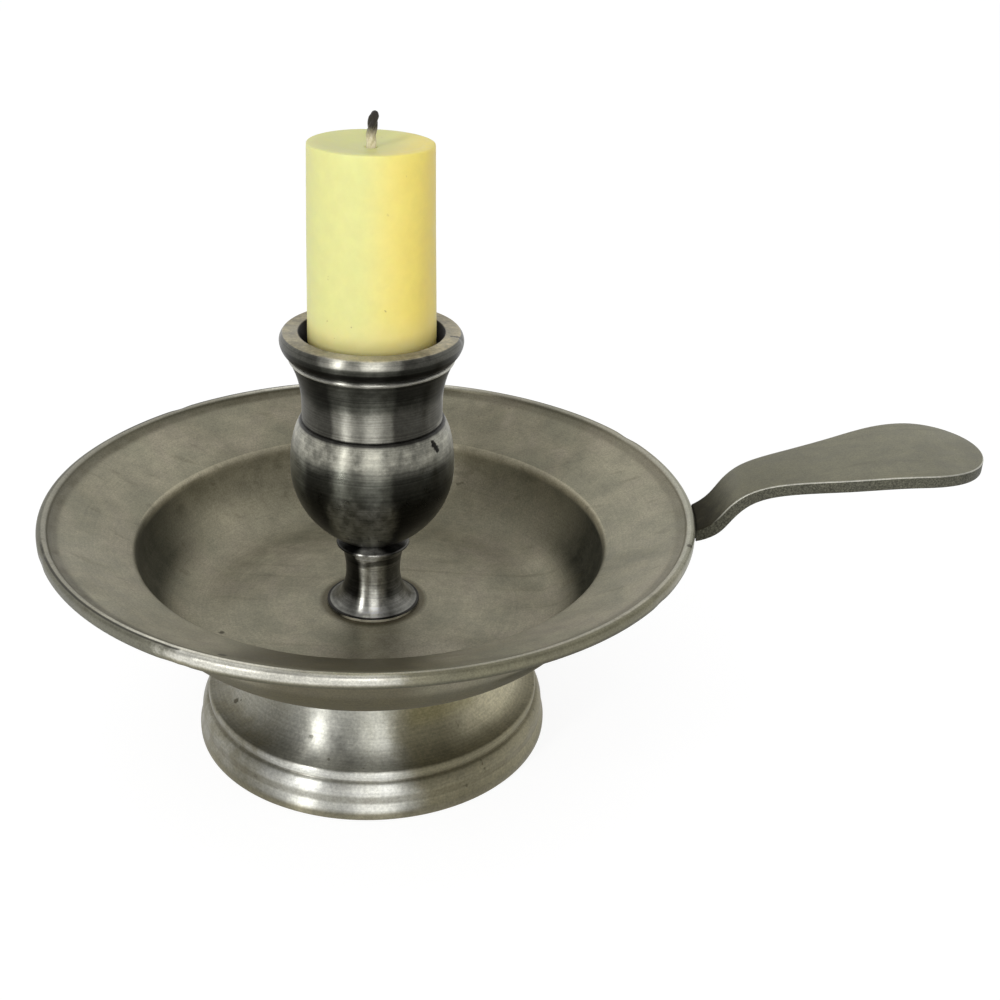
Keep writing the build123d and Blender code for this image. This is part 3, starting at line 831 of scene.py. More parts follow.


# %% [markdown]
# The pan is satin pewter that has not been polished for years: a warm grey that leans to khaki, cloudy with
# tarnish. The well's wall carries painted shade, nearly black at the sides and in front, with painted light
# behind; the valley inside the raised edge is darker; the edge has a painted highlight on its crest and
# painted shade on its left and below, and its front is rubbed bright, partly wear and partly painted
# highlight. Painted shade also lies in front of the socket, round the stem's foot and under the pan. Tarnish
# is a film of oxide and not metal, so most of the pan counts as part metal only. Rings from the spinning show
# faintly all over, and scuffs run across the floor the way it was wiped.

# %% Pan finish
pewter_light = (0.310, 0.288, 0.208)
pewter_dull = (0.205, 0.188, 0.126)
pewter_brown = (0.100, 0.086, 0.050)
pewter_bright = (0.72, 0.71, 0.64)
tarnish_green, tarnish_pink, wiped_clean = (0.165, 0.168, 0.118), (0.330, 0.292, 0.224), (0.365, 0.330, 0.255)
wall_painted_shade, wall_painted_light, valley_dark = (0.048, 0.048, 0.034), (0.440, 0.405, 0.290), (0.070, 0.062, 0.036)
arris_painted_highlight, arris_painted_shade = (0.520, 0.475, 0.345), (0.055, 0.049, 0.030)
edge_aged, edge_right_painted_light, edge_far_left_painted_shade = (0.165, 0.156, 0.100), (0.300, 0.306, 0.240), (0.125, 0.116, 0.078)
edge_left_painted_shade, crest_painted_highlight, edge_painted_shadow = (0.150, 0.147, 0.112), (0.68, 0.66, 0.56), (0.030, 0.027, 0.018)
edge_low_painted_shade, underside, spot_dark = (0.064, 0.062, 0.040), (0.085, 0.075, 0.040), (0.050, 0.043, 0.025)
wiped_patch = [(15.0, -26.0, 25.2, 17.0)]
pan_marks = [
    (-25.31, -14.15, 25.21, 0.7), (-16.18, -50.76, 44.43, 0.8), (55.92, -12.46, 46.4, 0.7),
    (-31.0, -12.0, 25.3, 0.5),
]


def pan_walls(f, mottle):
    """The well's wall with painted shade at both sides and in front and painted light behind, and the arris
    above it with a painted highlight behind and painted shade in front.
    """
    wall = f.times(f.step(f.z, 25.5, 30.0), f.step(f.radius, 41.9, 42.5, 1.0, 0.0))
    right = f.times(f.step(f.bearing, 0.35, 0.72), f.step(f.y, 10, 32, 1.0, 0.25))
    left = f.times(f.step(f.bearing, -0.90, -0.45, 0.82, 0.0), f.step(f.y, 0, 22, 1.0, 0.06))
    front = f.step(f.y, -36, -22, 0.52, 0.0)
    wall_shade = f.times(wall, f.most(front, right, left), f.step(mottle, 0.2, 0.7, 0.75, 1.0))
    # Painted shade on the well's wall, darkest at both sides and in front.
    f.lay(wall_painted_shade, wall_shade)
    # Painted light on the back of the wall.
    f.lay(wall_painted_light, wall, f.step(f.y, 10, 22, 0.0, 0.55), f.step(f.bearing, -0.10, 0.50, 1.0, 0.35))
    arris = f.times(f.band(f.radius, 41.7, 42.4, 0.3), f.step(f.z, 37.5, 38.5))
    # Painted highlight along the back of the arris.
    f.lay(arris_painted_highlight, arris, f.step(f.y, -6, 10, 0.0, 0.65))
    # Painted shade on the arris in front.
    f.lay(arris_painted_shade, arris, f.step(f.y, -34, -20, 0.75, 0.0))
    return wall_shade


def pan_edge(f, wide, frayed):
    """The raised edge: aged towards the handle, with painted shade on the left and below, painted light at
    its far right end, a painted highlight on its crest, and a front rubbed bright, partly wear and partly
    painted highlight.
    """
    edge = f.step(f.radius, 56.9, 57.3)
    f.lay(edge_aged, edge, f.step(frayed, 0.14, 0.36, 0.0, 0.85), f.step(f.bearing, 0.84, 0.95, 1.0, 0.0))
    # Painted light on the far right end of the edge.
    f.lay(edge_right_painted_light, f.step(f.radius, 56.2, 56.6), f.step(f.bearing, 0.88, 0.97, 0.0, 0.55))
    # Painted shade on the far left of the edge.
    f.lay(edge_far_left_painted_shade, f.step(f.radius, 55.3, 56.0), f.step(f.bearing, -0.85, -0.60, 0.80, 0.0))
    # Painted shade over the left of the edge.
    f.lay(edge_left_painted_shade, edge, f.step(frayed, -0.44, -0.38, 0.85, 0.0))
    # The front of the edge is rubbed bright: partly wear, partly painted highlight.
    front = f.times(edge, f.band(frayed, -0.38, 0.14, 0.07))
    rubbed = f.times(front, f.step(f.z, 44.6, 45.3), f.step(wide, 0.25, 0.65, 1.0, 0.65))
    f.lay(pewter_bright, rubbed)
    # Painted highlight along the crest, strongest in front and on the left.
    crest = f.times(f.band(f.radius, 56.4, 56.9, 0.3), f.step(f.z, 45.8, 46.1))
    crest = f.times(crest, f.step(frayed, -0.70, -0.38, 0.25, 0.95), f.step(frayed, 0.08, 0.34, 1.0, 0.28))
    f.lay(crest_painted_highlight, crest)
    # Painted shadow in a thin line below the crest on the left.
    line = f.times(f.band(f.radius, 57.1, 57.3, 0.2), f.step(f.z, 45.4, 45.7))
    f.lay(edge_painted_shadow, line, f.band(frayed, -0.88, -0.40, 0.06), 0.85)
    # Painted shade on the lower outside of the edge.
    outside = f.times(f.step(f.radius, 56.8, 57.4), f.step(f.z, 44.4, 45.2, 0.85, 0.0))
    f.lay(edge_low_painted_shade, outside, f.step(f.bearing, -0.42, -0.20, 0.35, 1.0))
    return f.most(rubbed, crest)


def pan_finish():
    """Cloudy tarnish, then walls, painted shade in front of the socket and round its foot, a darker valley,
    edge, painted shade on the underside, specks and scuffs.
    """
    f = Finish("pan_pewter", pewter_light, Anisotropic=0.35, Anisotropic_Rotation=0.25)
    wide, hue = f.clouds(0.028, 5.0, 0.6, 0.6), f.clouds(0.085, 3.0, 0.55, 0.5)
    mottle, grain = f.clouds(0.24, 5.0, 0.65), f.clouds(3.2, 3.0, 0.75)
    rings = f.rings(f.plus(f.radius, f.z), 1.4)
    f.lay(pewter_dull, f.step(wide, 0.36, 0.70, 0.0, 0.8))
    f.lay(tarnish_green, f.step(hue, 0.46, 0.66, 0.0, 0.32))
    f.lay(tarnish_pink, f.step(hue, 0.34, 0.50, 0.40, 0.0))
    f.lay(wiped_clean, f.marks(wide, wiped_patch), 0.45)
    wall_shade = pan_walls(f, mottle)
    # Painted shade on the floor and rim in front of the socket.
    front_shade = f.times(f.step(f.y, -34, -16, 1.0, 0.0), f.band(f.bearing, -0.22, 0.20, 0.16))
    f.lay(pewter_brown, front_shade, f.step(f.radius, 52.0, 55.6, 1.0, 0.0), 0.85)
    # Darker in the valley inside the raised edge, less so towards the handle.
    valley = f.times(f.band(f.radius, 55.1, 56.1, 1.3), f.step(mottle, 0.3, 0.7, 0.50, 0.95))
    f.lay(valley_dark, valley, f.step(f.bearing, -0.10, 0.50, 0.90, 0.55))
    # Painted shadow in a ring round the foot of the stem.
    f.lay(pewter_brown, f.band(f.radius, 8.0, 9.2, 1.2), f.band(f.z, 25.0, 25.6, 0.4), 0.9)
    rubbed = pan_edge(f, wide, f.stray(f.bearing, mottle, 0.20))
    # Painted shade on the pan's underside, which is also made less metallic and rougher.
    under = f.step(f.upward(), -0.75, -0.10, 0.90, 0.0)
    f.lay(underside, under)
    f.lay(pewter_brown, f.step(f.clouds(0.62, 2.0, 0.5), 0.70, 0.76, 0.0, 0.6), f.step(wide, 0.45, 0.65))
    f.lay(pewter_brown, f.scuffs(28.0, 0.42), 0.28)
    f.lay(spot_dark, f.marks(mottle, pan_marks), 0.85)

    shade = f.times(f.vary(mottle, 0.80, 1.18), f.vary(grain, 0.74, 1.24), f.vary(rings, 0.95, 1.05))
    metal = f.most(f.plus(f.step(wide, 0.36, 0.70, 0.75, 0.50), wall_shade, 0.45), rubbed)
    metal = f.plus(metal, under, -0.4)
    rough = f.plus(f.vary(mottle, 0.38, 0.50), f.step(wide, 0.35, 0.7, 0.0, 0.07))
    rough = f.plus(f.plus(rough, rubbed, -0.12), f.most(wall_shade, under), 0.40)
    f.put_on([pan], shade, rough, [(wide, 0.12), (mottle, 0.014), (rings, 0.005), (grain, 0.005)], metal)


pan_finish()

# %% [markdown]
# The foot is the same metal. Its front is clean silver, a painted highlight, and both sides are painted shade
# in warm tarnish colours, olive on the handle's side; its mouldings are rubbed bright, partly wear and partly
# painted highlight. The groove, the bottom of the hollow curve and the band just above the toe are darker,
# partly dirt and partly painted shade, and the neck under the pan and the base edge have painted shade. It
# was finished on the lathe, so its rings are stronger, and light runs up and down it in streaks: that is what
# the strong anisotropy is for.

# %% Foot finish
foot_silver, foot_grey, moulding_rubbed_and_highlight = (0.520, 0.518, 0.465), (0.430, 0.424, 0.360), (0.78, 0.78, 0.73)
foot_left, foot_right = (0.190, 0.176, 0.122), (0.235, 0.212, 0.128)
far_right_painted_light, foot_olive, nick_dark = (0.640, 0.590, 0.415), (0.255, 0.222, 0.090), (0.060, 0.052, 0.030)
foot_dirt_and_shade = [(9.0, 9.7, 1.2, 0.02, 0.22), (6.8, 7.0, 0.2, 0.20, 0.50), (3.4, 4.3, 0.6, 0.15, 0.45)]
foot_marks = [(-23.64, -13.63, 10.14, 0.7), (-22.4, -14.1, 10.7, 0.4), (-21.57, -14.51, 11.32, 0.35)]


def foot_finish():
    """Silver in front as a painted highlight, rubbed mouldings, painted shade on both sides, darker bands in
    the hollows, painted shade under the pan and on the base edge, and nicks.
    """
    f = Finish("foot_pewter", foot_silver, Anisotropic=0.93, Anisotropic_Rotation=0.25)
    wide, mottle, grain = f.clouds(0.042, 4.0, 0.6, 0.8), f.clouds(0.3, 5.0, 0.65), f.clouds(2.0, 3.0, 0.7)
    rings = f.rings(f.reckon("SUBTRACT", f.z, f.radius), 1.7)
    drift = f.stray(f.bearing, wide, 0.35)
    f.lay(foot_grey, f.step(wide, 0.42, 0.72, 0.0, 0.75))
    # The mouldings are rubbed bright: partly wear, partly painted highlight at the heights of their
    # highlights.
    bead, moulding, toe = f.band(f.z, 7.3, 8.4, 0.5), f.band(f.z, 5.2, 6.3, 0.8), f.band(f.z, 1.8, 2.9, 0.6)
    f.lay(moulding_rubbed_and_highlight, f.most(bead, moulding, f.times(toe, 0.5)), f.step(mottle, 0.3, 0.7, 0.9, 0.4))
    # Painted shade on both sides in warm tarnish colours, leaving the silver front as a painted highlight;
    # the sides are also less metallic.
    left_side = f.times(f.step(drift, -0.60, -0.36, 0.95, 0.0), f.step(f.z, 9.0, 12.0, 1.0, 0.66))
    f.lay(foot_left, left_side, f.step(mottle, 0.3, 0.65, 0.75, 1.0))
    right_side = f.step(drift, 0.20, 0.42, 0.0, 0.95)
    f.lay(foot_right, right_side)
    # Painted light on the far right above the mouldings.
    f.lay(far_right_painted_light, f.step(drift, 0.55, 0.80, 0.0, 0.8), f.step(f.z, 8.5, 10.5))
    f.lay(foot_olive, f.band(drift, 0.45, 0.78, 0.12), f.band(f.z, 15.0, 20.5, 3.0), 0.5)
    # Darker bands at the bottom of the hollow curve, in the groove and just above the toe: partly dirt,
    # partly painted shade.
    for low, high, soft, least, greatest in foot_dirt_and_shade:
        f.lay(pewter_brown, f.band(f.z, low, high, soft), f.step(mottle, 0.25, 0.7, least, greatest))
    # Painted shade on the neck under the pan.
    f.lay(pewter_brown, f.step(f.z, 19.0, 22.8, 0.0, 0.65))
    # Painted shade on the base edge, dulling its highlight.
    f.lay(pewter_dull, f.step(f.z, 1.0, 2.2, 0.95, 0.0))
    nicks = f.step(f.clouds(0.38, 2.0, 0.5), 0.72, 0.77, 0.0, 0.6)
    f.lay(nick_dark, f.most(nicks, f.times(f.marks(mottle, foot_marks), 0.9)))

    shade = f.times(f.vary(mottle, 0.80, 1.18), f.vary(grain, 0.78, 1.20), f.vary(rings, 0.90, 1.09))
    metal = f.plus(0.95, f.most(left_side, right_side), -0.20)
    rough = f.plus(f.vary(mottle, 0.37, 0.48), f.step(wide, 0.35, 0.7, -0.03, 0.05))
    f.put_on([foot], shade, rough, [(wide, 0.10), (mottle, 0.012), (rings, 0.010), (grain, 0.003)], metal)


foot_finish()

# %% [markdown]
# The socket is the darkest and the glossiest part. Its three castings share one recipe: lathe rings, cloudy
# wear, and a shine that is drawn out upright. Each casting has its own paint, and much of it is painted light
# and shade: the stem is pale, with painted shade on its flanks and painted highlights where it spreads, on
# its collar and on its flange; the bulb has a pale shoulder that is a painted reflection, over a belly in
# painted shade with a painted sheen in front; and the cup is pale below as a painted reflection, in painted
# shade on its flanks and under its lip, with a ring and a lip rubbed bright, partly wear and partly painted
# highlight, and painted shade in the bore. Each paint also says where a dull film lies over the metal.

# %% Socket finishes
socket_grey, socket_dark = (0.186, 0.190, 0.160), (0.062, 0.062, 0.053)
belly_painted_sheen, socket_black = (0.360, 0.352, 0.305), (0.014, 0.013, 0.011)
stem_pale, spread_painted_highlight = (0.84, 0.83, 0.76), (0.94, 0.93, 0.87)
collar_painted_highlight, flange_painted_highlight = (0.90, 0.89, 0.84), (0.62, 0.58, 0.44)
shoulder_painted_reflection, cup_painted_reflection, ring_worn_and_highlight = (0.460, 0.448, 0.375), (0.420, 0.412, 0.360), (0.56, 0.55, 0.49)
lip_rubbed_and_highlight, lip_brown, bore_shade = (0.54, 0.53, 0.46), (0.470, 0.415, 0.280), (0.012, 0.009, 0.005)
bulb_marks = [
    (11.0, -6.9, 60.9, 0.6), (11.3, -6.9, 60.4, 0.75), (11.7, -6.9, 59.9, 0.75), (12.0, -6.9, 59.4, 0.6),
]
lip_marks = [
    (13.6, -1.2, 78.0, 0.35), (14.1, -1.25, 78.0, 0.3), (14.6, -1.3, 78.0, 0.35), (15.0, -1.4, 77.8, 0.3),
]


def stem_paint(f, ragged, drift, mottle):
    """Pale metal with painted shade on its flanks, the sides of its spread, under the collar and on the
    ledge, and painted highlights on the spread, the collar and the flange.
    """
    f.lay(stem_pale, f.step(mottle, 0.3, 0.7, 0.65, 0.95))
    # Painted shade on both flanks.
    flanks = f.most(f.step(drift, -0.46, -0.24, 0.95, 0.0), f.step(drift, 0.36, 0.62, 0.0, 0.80))
    f.lay(socket_black, flanks, f.step(f.z, 26.8, 29.0, 0.50, 1.0))
    # Painted highlight in the middle of the spread, and painted shade at its sides.
    spread = f.step(f.z, 26.6, 27.8, 1.0, 0.0)
    f.lay(spread_painted_highlight, spread, f.band(drift, -0.20, 0.40, 0.15))
    f.lay(socket_dark, spread, f.step(drift, -0.55, -0.25, 0.6, 0.0))
    f.lay(socket_dark, spread, f.step(drift, 0.40, 0.70, 0.0, 0.6))
    # Painted highlight on the front of the collar.
    f.lay(collar_painted_highlight, f.band(f.z, 36.4, 37.4, 0.3), f.band(drift, -0.34, 0.10, 0.12))
    # Painted shade in a line under the collar.
    f.lay(socket_black, f.band(ragged, 35.0, 35.8, 0.6), 0.65)
    # Painted shadow on the ledge at the stem's foot.
    f.lay(socket_black, f.band(f.z, 25.74, 25.88, 0.05), f.step(f.radius, 7.9, 8.1), 0.95)
    # Painted highlight on the flange's edge.
    flange = f.times(f.step(f.z, 25.66, 25.72, 1.0, 0.0), f.step(f.radius, 8.0, 8.2))
    flange = f.times(flange, f.band(drift, -0.45, 0.75, 0.20))
    f.lay(flange_painted_highlight, flange)
    return flange


def bulb_paint(f, ragged, drift, mottle):
    """A pale shoulder with a ragged end as painted reflection, painted shade on the flanks, the belly and the
    bottom, a painted sheen in front of the belly, a nick, and a painted shadow along the seam.
    """
    # Painted reflection: a pale, dull shoulder.
    shoulder = f.times(f.step(ragged, 55.6, 59.8), f.step(mottle, 0.3, 0.7, 0.45, 0.95))
    f.lay(shoulder_painted_reflection, shoulder)
    # Painted shade on the flanks.
    flanks = f.most(f.band(drift, -0.66, -0.44, 0.10), f.band(drift, 0.40, 0.92, 0.10))
    f.lay(socket_black, flanks, f.step(ragged, 56.0, 58.8, 0.72, 0.10))
    front = f.band(drift, -0.38, 0.32, 0.14)
    # Painted shade over the belly, except in front.
    f.lay(socket_black, f.step(ragged, 45.5, 54.0, 0.95, 0.0), f.plus(1.0, front, -0.92))
    # Painted sheen on the front of the belly.
    f.lay(belly_painted_sheen, f.band(ragged, 43.0, 50.0, 3.0), front, f.step(mottle, 0.3, 0.7, 0.2, 0.7))
    # Painted shade at the bottom of the bulb.
    f.lay(socket_black, f.step(f.z, 39.5, 42.5, 0.9, 0.0))
    nick = f.marks(mottle, bulb_marks)
    # Painted shadow along the seam under the cup; the nick is a real mark.
    f.lay(socket_black, f.most(f.step(f.z, 61.4, 61.9, 0.0, 0.95), nick))
    return f.times(shoulder, f.reckon("SUBTRACT", 1.0, nick))


def cup_paint(f, ragged, drift, mottle):
    """Pale below as painted reflection and dark above, painted shade on the flanks, at the seam, under the
    lip and in the bore, a ring and a lip rubbed bright, partly wear and partly painted highlight, and a brown
    film on the lip.
    """
    # Painted reflection: pale below, dark above.
    f.lay(cup_painted_reflection, f.step(ragged, 66.4, 68.8, 0.90, 0.0))
    f.lay(socket_dark, f.step(ragged, 67.6, 70.0, 0.0, 0.70))
    # Painted shade on both flanks.
    f.lay(socket_black, f.most(f.band(drift, -0.95, -0.46, 0.08), f.band(drift, 0.42, 0.97, 0.08)), 0.70)
    # Painted shadow at the seam over the bulb.
    f.lay(socket_black, f.step(f.z, 62.2, 62.6, 0.95, 0.0))
    # Painted shade under the lip.
    f.lay(socket_black, f.band(f.z, 73.9, 75.3, 0.4), 0.9)
    # The ring is rubbed bright: partly wear, partly painted highlight.
    f.lay(ring_worn_and_highlight, f.band(f.z, 73.0, 73.6, 0.2), f.step(f.radius, 13.9, 14.1), 0.9)
    # The lip's front is rubbed bright: partly wear, partly painted highlight.
    lip = f.times(f.step(f.z, 76.2, 76.9), f.step(f.radius, 12.3, 12.8))
    f.lay(lip_rubbed_and_highlight, lip, f.plus(0.15, f.band(drift, -0.40, 0.36, 0.12), 0.80))
    lip_film = f.times(f.step(f.z, 77.80, 77.95), f.step(mottle, 0.3, 0.7, 0.45, 0.90))
    f.lay(lip_brown, lip_film)
    f.lay(socket_black, f.marks(mottle, lip_marks), 0.8)
    # Painted shade in the bore round the candle.
    bore = f.times(f.step(f.radius, 12.4, 12.7, 0.95, 0.0), f.step(f.z, 70.0, 72.5))
    f.lay(bore_shade, bore)
    return f.times(lip_film, f.reckon("SUBTRACT", 1.0, bore))


def socket_finish(piece, name, paint, rough_low, rough_high, anisotropy):
    """The recipe that the three castings share, round the paint of one of them."""
    f = Finish(name, socket_grey, Anisotropic=anisotropy, Anisotropic_Rotation=0.25)
    wide, mottle, grain = f.clouds(0.09, 4.0, 0.6, 0.8), f.clouds(0.52, 5.0, 0.65), f.clouds(2.6, 3.0, 0.7)
    rings, coarse_rings = f.rings(f.z, 2.3), f.rings(f.z, 0.7)
    f.lay(socket_dark, f.step(wide, 0.38, 0.70, 0.0, 0.5))
    film = paint(f, f.stray(f.z, wide, 5.0), f.stray(f.bearing, wide, 0.25), mottle)

    shade = f.times(f.vary(mottle, 0.76, 1.22), f.vary(grain, 0.84, 1.14), f.vary(rings, 0.74, 1.23))
    rough = f.plus(f.vary(mottle, rough_low, rough_high), f.step(wide, 0.35, 0.7, -0.03, 0.04))
    reliefs = [(wide, 0.03), (coarse_rings, 0.018), (rings, 0.008), (mottle, 0.006)]
    f.put_on([piece], shade, f.plus(rough, film, 0.12), reliefs, f.plus(1.0, film, -0.55))


socket_finish(stem, "stem_pewter", stem_paint, 0.30, 0.40, 0.90)
socket_finish(bulb, "bulb_pewter", bulb_paint, 0.27, 0.37, 0.82)
socket_finish(cup, "cup_pewter", cup_paint, 0.34, 0.46, 0.93)

# %% [markdown]
# The handle was cast, filed flat on top and left rough on its sides. Its top is satin like the pan and paler
# towards the tip, its root is dark, its sides keep the dark grain of the mould, and the arris between the two
# is rubbed to a bright line.

# %% Handle finish
strap_light, strap_dull, strap_low = (0.218, 0.209, 0.145), (0.155, 0.148, 0.097), (0.118, 0.112, 0.070)
root_dark, scuff_dark, strap_arris = (0.020, 0.017, 0.007), (0.090, 0.082, 0.050), (0.62, 0.61, 0.54)
cast_dark, cast_light = (0.050, 0.049, 0.034), (0.130, 0.127, 0.092)


def handle_finish():
    """Satin on top, darker towards the root, grained on the sides and rubbed along the marked corner."""
    f = Finish("handle_pewter", strap_light)
    wide, mottle, grain = f.clouds(0.06, 4.0, 0.6, 0.7), f.clouds(0.33, 5.0, 0.65), f.clouds(3.4, 4.0, 0.75)
    f.lay(strap_dull, f.step(wide, 0.38, 0.68, 0.0, 0.7))
    f.lay(strap_low, f.step(f.x, 62, 86, 0.70, 0.0))
    root = f.step(f.plus(f.x, mottle, 2.0), 59.8, 66.0, 0.97, 0.0)
    f.lay(root_dark, root)
    f.lay(scuff_dark, f.scuffs(12.0, 0.52), 0.25)
    side = f.step(f.upward(), 0.10, 0.40, 1.0, 0.0)
    f.lay(f.blend(cast_dark, cast_light, f.step(grain, 0.34, 0.70)), side)
    corner_rub = f.add("ShaderNodeAttribute", attribute_name="rubbed_edge").outputs["Fac"]
    corner_rub = f.times(corner_rub, f.step(f.x, 60, 63, 0.0, 0.95))
    f.lay(strap_arris, corner_rub)

    shade = f.times(f.vary(mottle, 0.80, 1.18), f.vary(grain, 0.74, 1.24))
    metal = f.most(f.step(wide, 0.38, 0.68, 0.70, 0.45), corner_rub)
    rough = f.plus(f.plus(f.vary(mottle, 0.40, 0.52), side, 0.12), root, 0.45)
    pits = f.times(grain, f.plus(1.0, side, 8.0))
    f.put_on([strap, tongue], shade, rough, [(wide, 0.10), (mottle, 0.014), (pits, 0.006)], metal)


handle_finish()

# %% [markdown]
# Solder is softer and greyer than the pewter and stays matte, with a skin of flux. The screw and the washer
# are plain steel, browned a little by damp.

# %% Solder and steel finishes
solder_light, solder_dark = (0.20, 0.195, 0.165), (0.070, 0.062, 0.042)
steel_light, steel_brown = (0.36, 0.35, 0.33), (0.13, 0.085, 0.050)


def plain_metal(pieces, name, light, dark, lumps, rough_low, rough_high, depth):
    """A metal in two shades, mixed by soft noise, with its roughness and its relief from the same noise."""
    f = Finish(name, light, Metallic=1.0)
    wide, grain = f.clouds(lumps, 5.0, 0.65, 0.5), f.clouds(lumps * 9, 3.0, 0.7)
    f.lay(dark, f.step(wide, 0.38, 0.66))
    rough = f.step(wide, 0.3, 0.7, rough_low, rough_high)
    f.put_on(pieces, f.vary(grain, 0.85, 1.12), rough, [(wide, depth), (grain, depth / 10)])


hidden_steel = [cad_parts[node_name] for node_name in ("tie_screw", "tie_washer")]
plain_metal([foot_fillet, handle_fillet], "solder_grey", solder_light, solder_dark, 0.26, 0.42, 0.60, 0.12)
plain_metal(hidden_steel, "old_steel", steel_light, steel_brown, 0.32, 0.30, 0.55, 0.03)

# %% [markdown]
# Wax lets light in a little way, so it gets subsurface scattering. It is a pale butter yellow, with painted
# shade that makes it deeper and more amber on the handle's side and along its edge there, and tan and darker
# just above the lip, and it has a few dark specks. The wick is unbleached cotton, waxed below and charred at
# its end.

# %% Wax and wick finishes
wax_pale, wax_deep, wax_amber_shade = (0.745, 0.752, 0.305), (0.745, 0.715, 0.280), (1.0, 0.800, 0.180)
wax_tan_shade, wax_dark_shade = (0.76, 0.66, 0.29), (0.50, 0.42, 0.16)
wax_edge_shade, wax_speck = (0.66, 0.50, 0.13), (0.30, 0.21, 0.09)
wax_reach = (0.0040, 0.0028, 0.0010)
cotton_light, cotton_dark, cotton_char = (0.78, 0.73, 0.55), (0.60, 0.52, 0.34), (0.022, 0.018, 0.014)


def wax_finish():
    """Butter yellow, amber on the handle's side and tan and darker at the foot as painted shade, with a few
    specks.
    """
    inward = {"Subsurface_Weight": 0.35, "Subsurface_Radius": wax_reach, "Subsurface_Scale": 1.0}
    f = Finish("butter_wax", wax_pale, **inward)
    wide, mottle = f.clouds(0.055, 4.0, 0.55, 0.5), f.clouds(0.42, 5.0, 0.6)
    f.lay(wax_deep, f.step(wide, 0.35, 0.68, 0.0, 0.5))
    handle_side = f.plus(f.x, f.y, -0.15)
    # Painted shade: deeper and more amber on the handle's side.
    f.lay(wax_amber_shade, f.step(handle_side, 0, 10, 0.0, 0.95))
    # Painted shade: tan and darker just above the lip.
    f.lay(wax_tan_shade, f.step(f.z, 77.0, 85.0, 0.75, 0.0), f.step(mottle, 0.25, 0.7, 0.6, 1.0))
    f.lay(wax_dark_shade, f.step(f.z, 77.6, 80.6, 0.50, 0.0))
    # Painted shade along the edge on the handle's side.
    f.lay(wax_edge_shade, f.step(handle_side, 9.0, 10.8, 0.0, 0.30))
    specks = f.step(f.clouds(0.76, 2.0, 0.5), 0.735, 0.765, 0.0, 0.7)
    f.lay(wax_speck, specks, f.step(f.z, 80, 92, 1.0, 0.25))
    shade, rough = f.vary(mottle, 0.965, 1.03), f.vary(mottle, 0.38, 0.55)
    f.put_on([candle], shade, rough, [(wide, 0.25), (mottle, 0.02)])


def wick_finish():
    """Cotton in two shades along its fibres, charred above the wax."""
    f = Finish("charred_cotton", cotton_light, Sheen_Weight=0.2)
    drawn_out = f.add("ShaderNodeMapping", {"Vector": f.place, "Scale": (1.0, 1.0, 0.35)}).outputs[0]
    fibres = f.clouds(3.8, 3.0, 0.7, place=drawn_out)
    f.lay(cotton_dark, f.step(fibres, 0.3, 0.7))
    f.lay(cotton_char, f.step(f.plus(f.z, fibres, 1.2), 110.2, 113.0))
    f.put_on([wick], 1.0, f.step(fibres, 0.3, 0.7, 0.7, 0.95), [(fibres, 0.06)])


wax_finish()
wick_finish()

# %% [markdown]
# The stage is a plain white floor in front of a white sheet. The camera always sees white. Metal shows the
# sheet too, but on the camera's side the room is dimmer, as it is in a real studio, and that gives the
# turned metal its dark flanks. The floor still takes a soft shadow because part of its brightness comes
# from the lamps.

# %% Floor and room
floor_size, floor_drop = 6000.0, 0.15
floor_glow, floor_lit, floor_bounce = 0.86, 0.24, 0.8
room_dim, room_sheet, room_fill, room_white = 0.18, 1.0, 0.58, 1.0
floor_corners = np.array([[-1, -1, 0], [1, -1, 0], [1, 1, 0], [-1, 1, 0]])
floor_points = floor_corners * floor_size / 2 - (0, 0, floor_drop)
floor = piece_from_arrays("floor", floor_points, np.array([[0, 1, 2, 3]]))

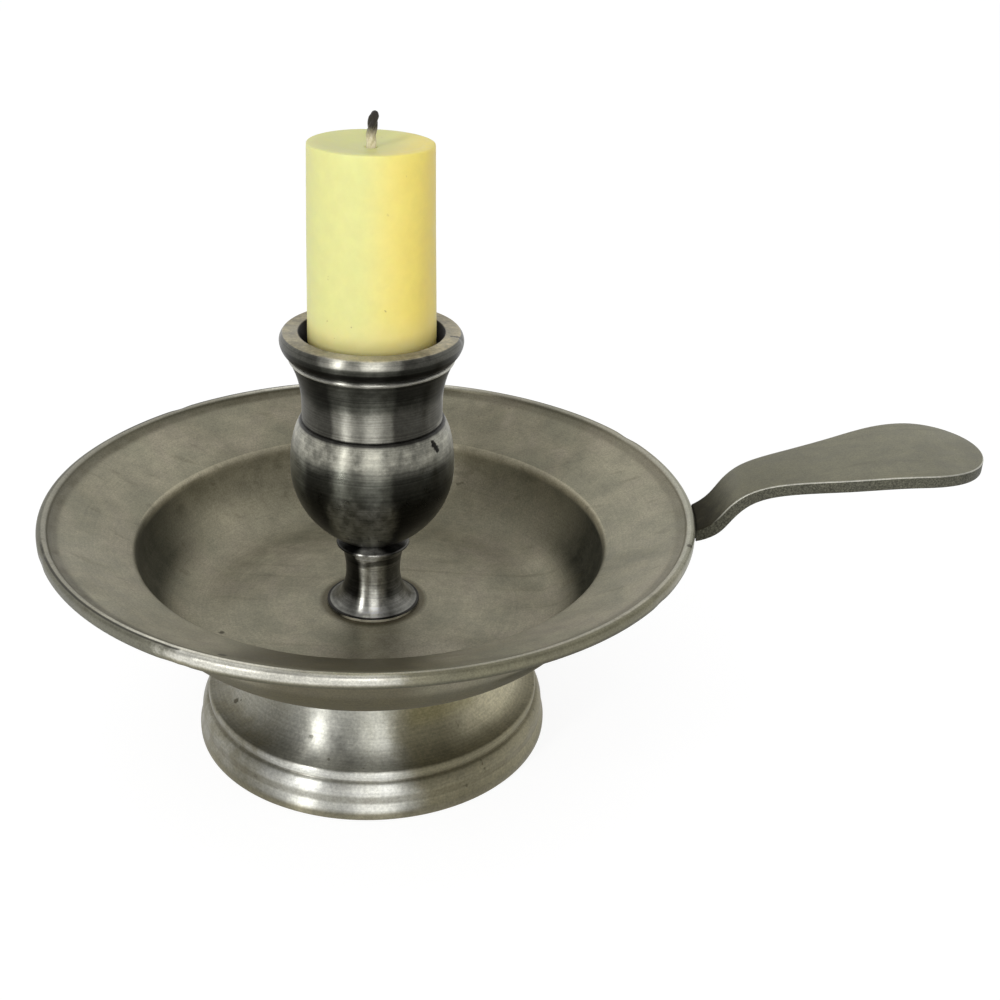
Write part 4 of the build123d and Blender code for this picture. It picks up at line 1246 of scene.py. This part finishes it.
floor_white = bpy.data.materials.new("floor_white")
nodes = Nodes(floor_white)
path = nodes.add("ShaderNodeLightPath").outputs
seen = nodes.most(path["Is Camera Ray"], path["Is Glossy Ray"], path["Is Transmission Ray"])
glow = nodes.add("ShaderNodeEmission", {"Color": (1, 1, 1, 1), "Strength": floor_glow})
lit = nodes.add("ShaderNodeBsdfDiffuse", {"Color": (floor_lit, floor_lit, floor_lit, 1)})
bounce = nodes.add("ShaderNodeBsdfDiffuse", {"Color": (floor_bounce, floor_bounce, floor_bounce, 1)})
shown = nodes.add("ShaderNodeAddShader", {0: glow.outputs[0], 1: lit.outputs[0]})
mixed = nodes.add("ShaderNodeMixShader", {0: seen, 1: bounce.outputs[0], 2: shown.outputs[0]})
nodes.add("ShaderNodeOutputMaterial", {"Surface": mixed.outputs[0]})
wear_into(floor, floor_white)

room = bpy.data.worlds.new("white_room")
nodes = Nodes(room)
path = nodes.add("ShaderNodeLightPath").outputs
way = nodes.add("ShaderNodeSeparateXYZ", {0: nodes.add("ShaderNodeTexCoord").outputs["Generated"]}).outputs
sheet_white = nodes.step(way[1], -0.35, 0.45, room_dim, room_sheet)
seen = nodes.most(path["Is Camera Ray"], path["Is Transmission Ray"])
strength = nodes.plus(room_fill, seen, room_white - room_fill)
mirrored = nodes.reckon("SUBTRACT", sheet_white, room_fill)
strength = nodes.plus(strength, path["Is Glossy Ray"], mirrored)
light = nodes.add("ShaderNodeBackground", {"Color": (1, 1, 1, 1), "Strength": strength})
nodes.add("ShaderNodeOutputWorld", {"Surface": light.outputs[0]})
bpy.context.scene.world = room
print("floor", floor_white.name, "room", room.name)

# %% [markdown]
# Two tall lamps stand beside the camera: a narrow strip well to its left and a wide panel almost behind it.
# The strip draws the thin bright streak that runs up the foot and the socket, and the panel draws the broad
# pale one beside it.

# %% Lamps
lamp_low, lamp_high, lamp_aim = 0.02, 0.95, Vector((0, 0, 0.04))


def strip_lamp(name, azimuth, distance, width, watts):
    """A rectangular lamp that faces the socket; azimuth 0 is straight in front, negative is left."""
    data = bpy.data.lights.new(name, "AREA")
    data.shape = "RECTANGLE"
    data.size, data.size_y = width, lamp_high - lamp_low
    data.energy = watts
    turn = math.radians(azimuth)
    place = Vector((math.sin(turn) * distance, -math.cos(turn) * distance, (lamp_low + lamp_high) / 2))
    lamp = bpy.data.objects.new(name, data)
    lamp.rotation_euler = (place - lamp_aim).to_track_quat("Z", "Y").to_euler()
    lamp.location = place
    lamp.visible_camera = False
    bpy.context.scene.collection.objects.link(lamp)
    print("lamp", name, watts, "W")


strip_lamp("left_strip", -35.5, 1.2, 0.11, 5.2)
strip_lamp("front_panel", 8, 1.3, 0.60, 6.0)
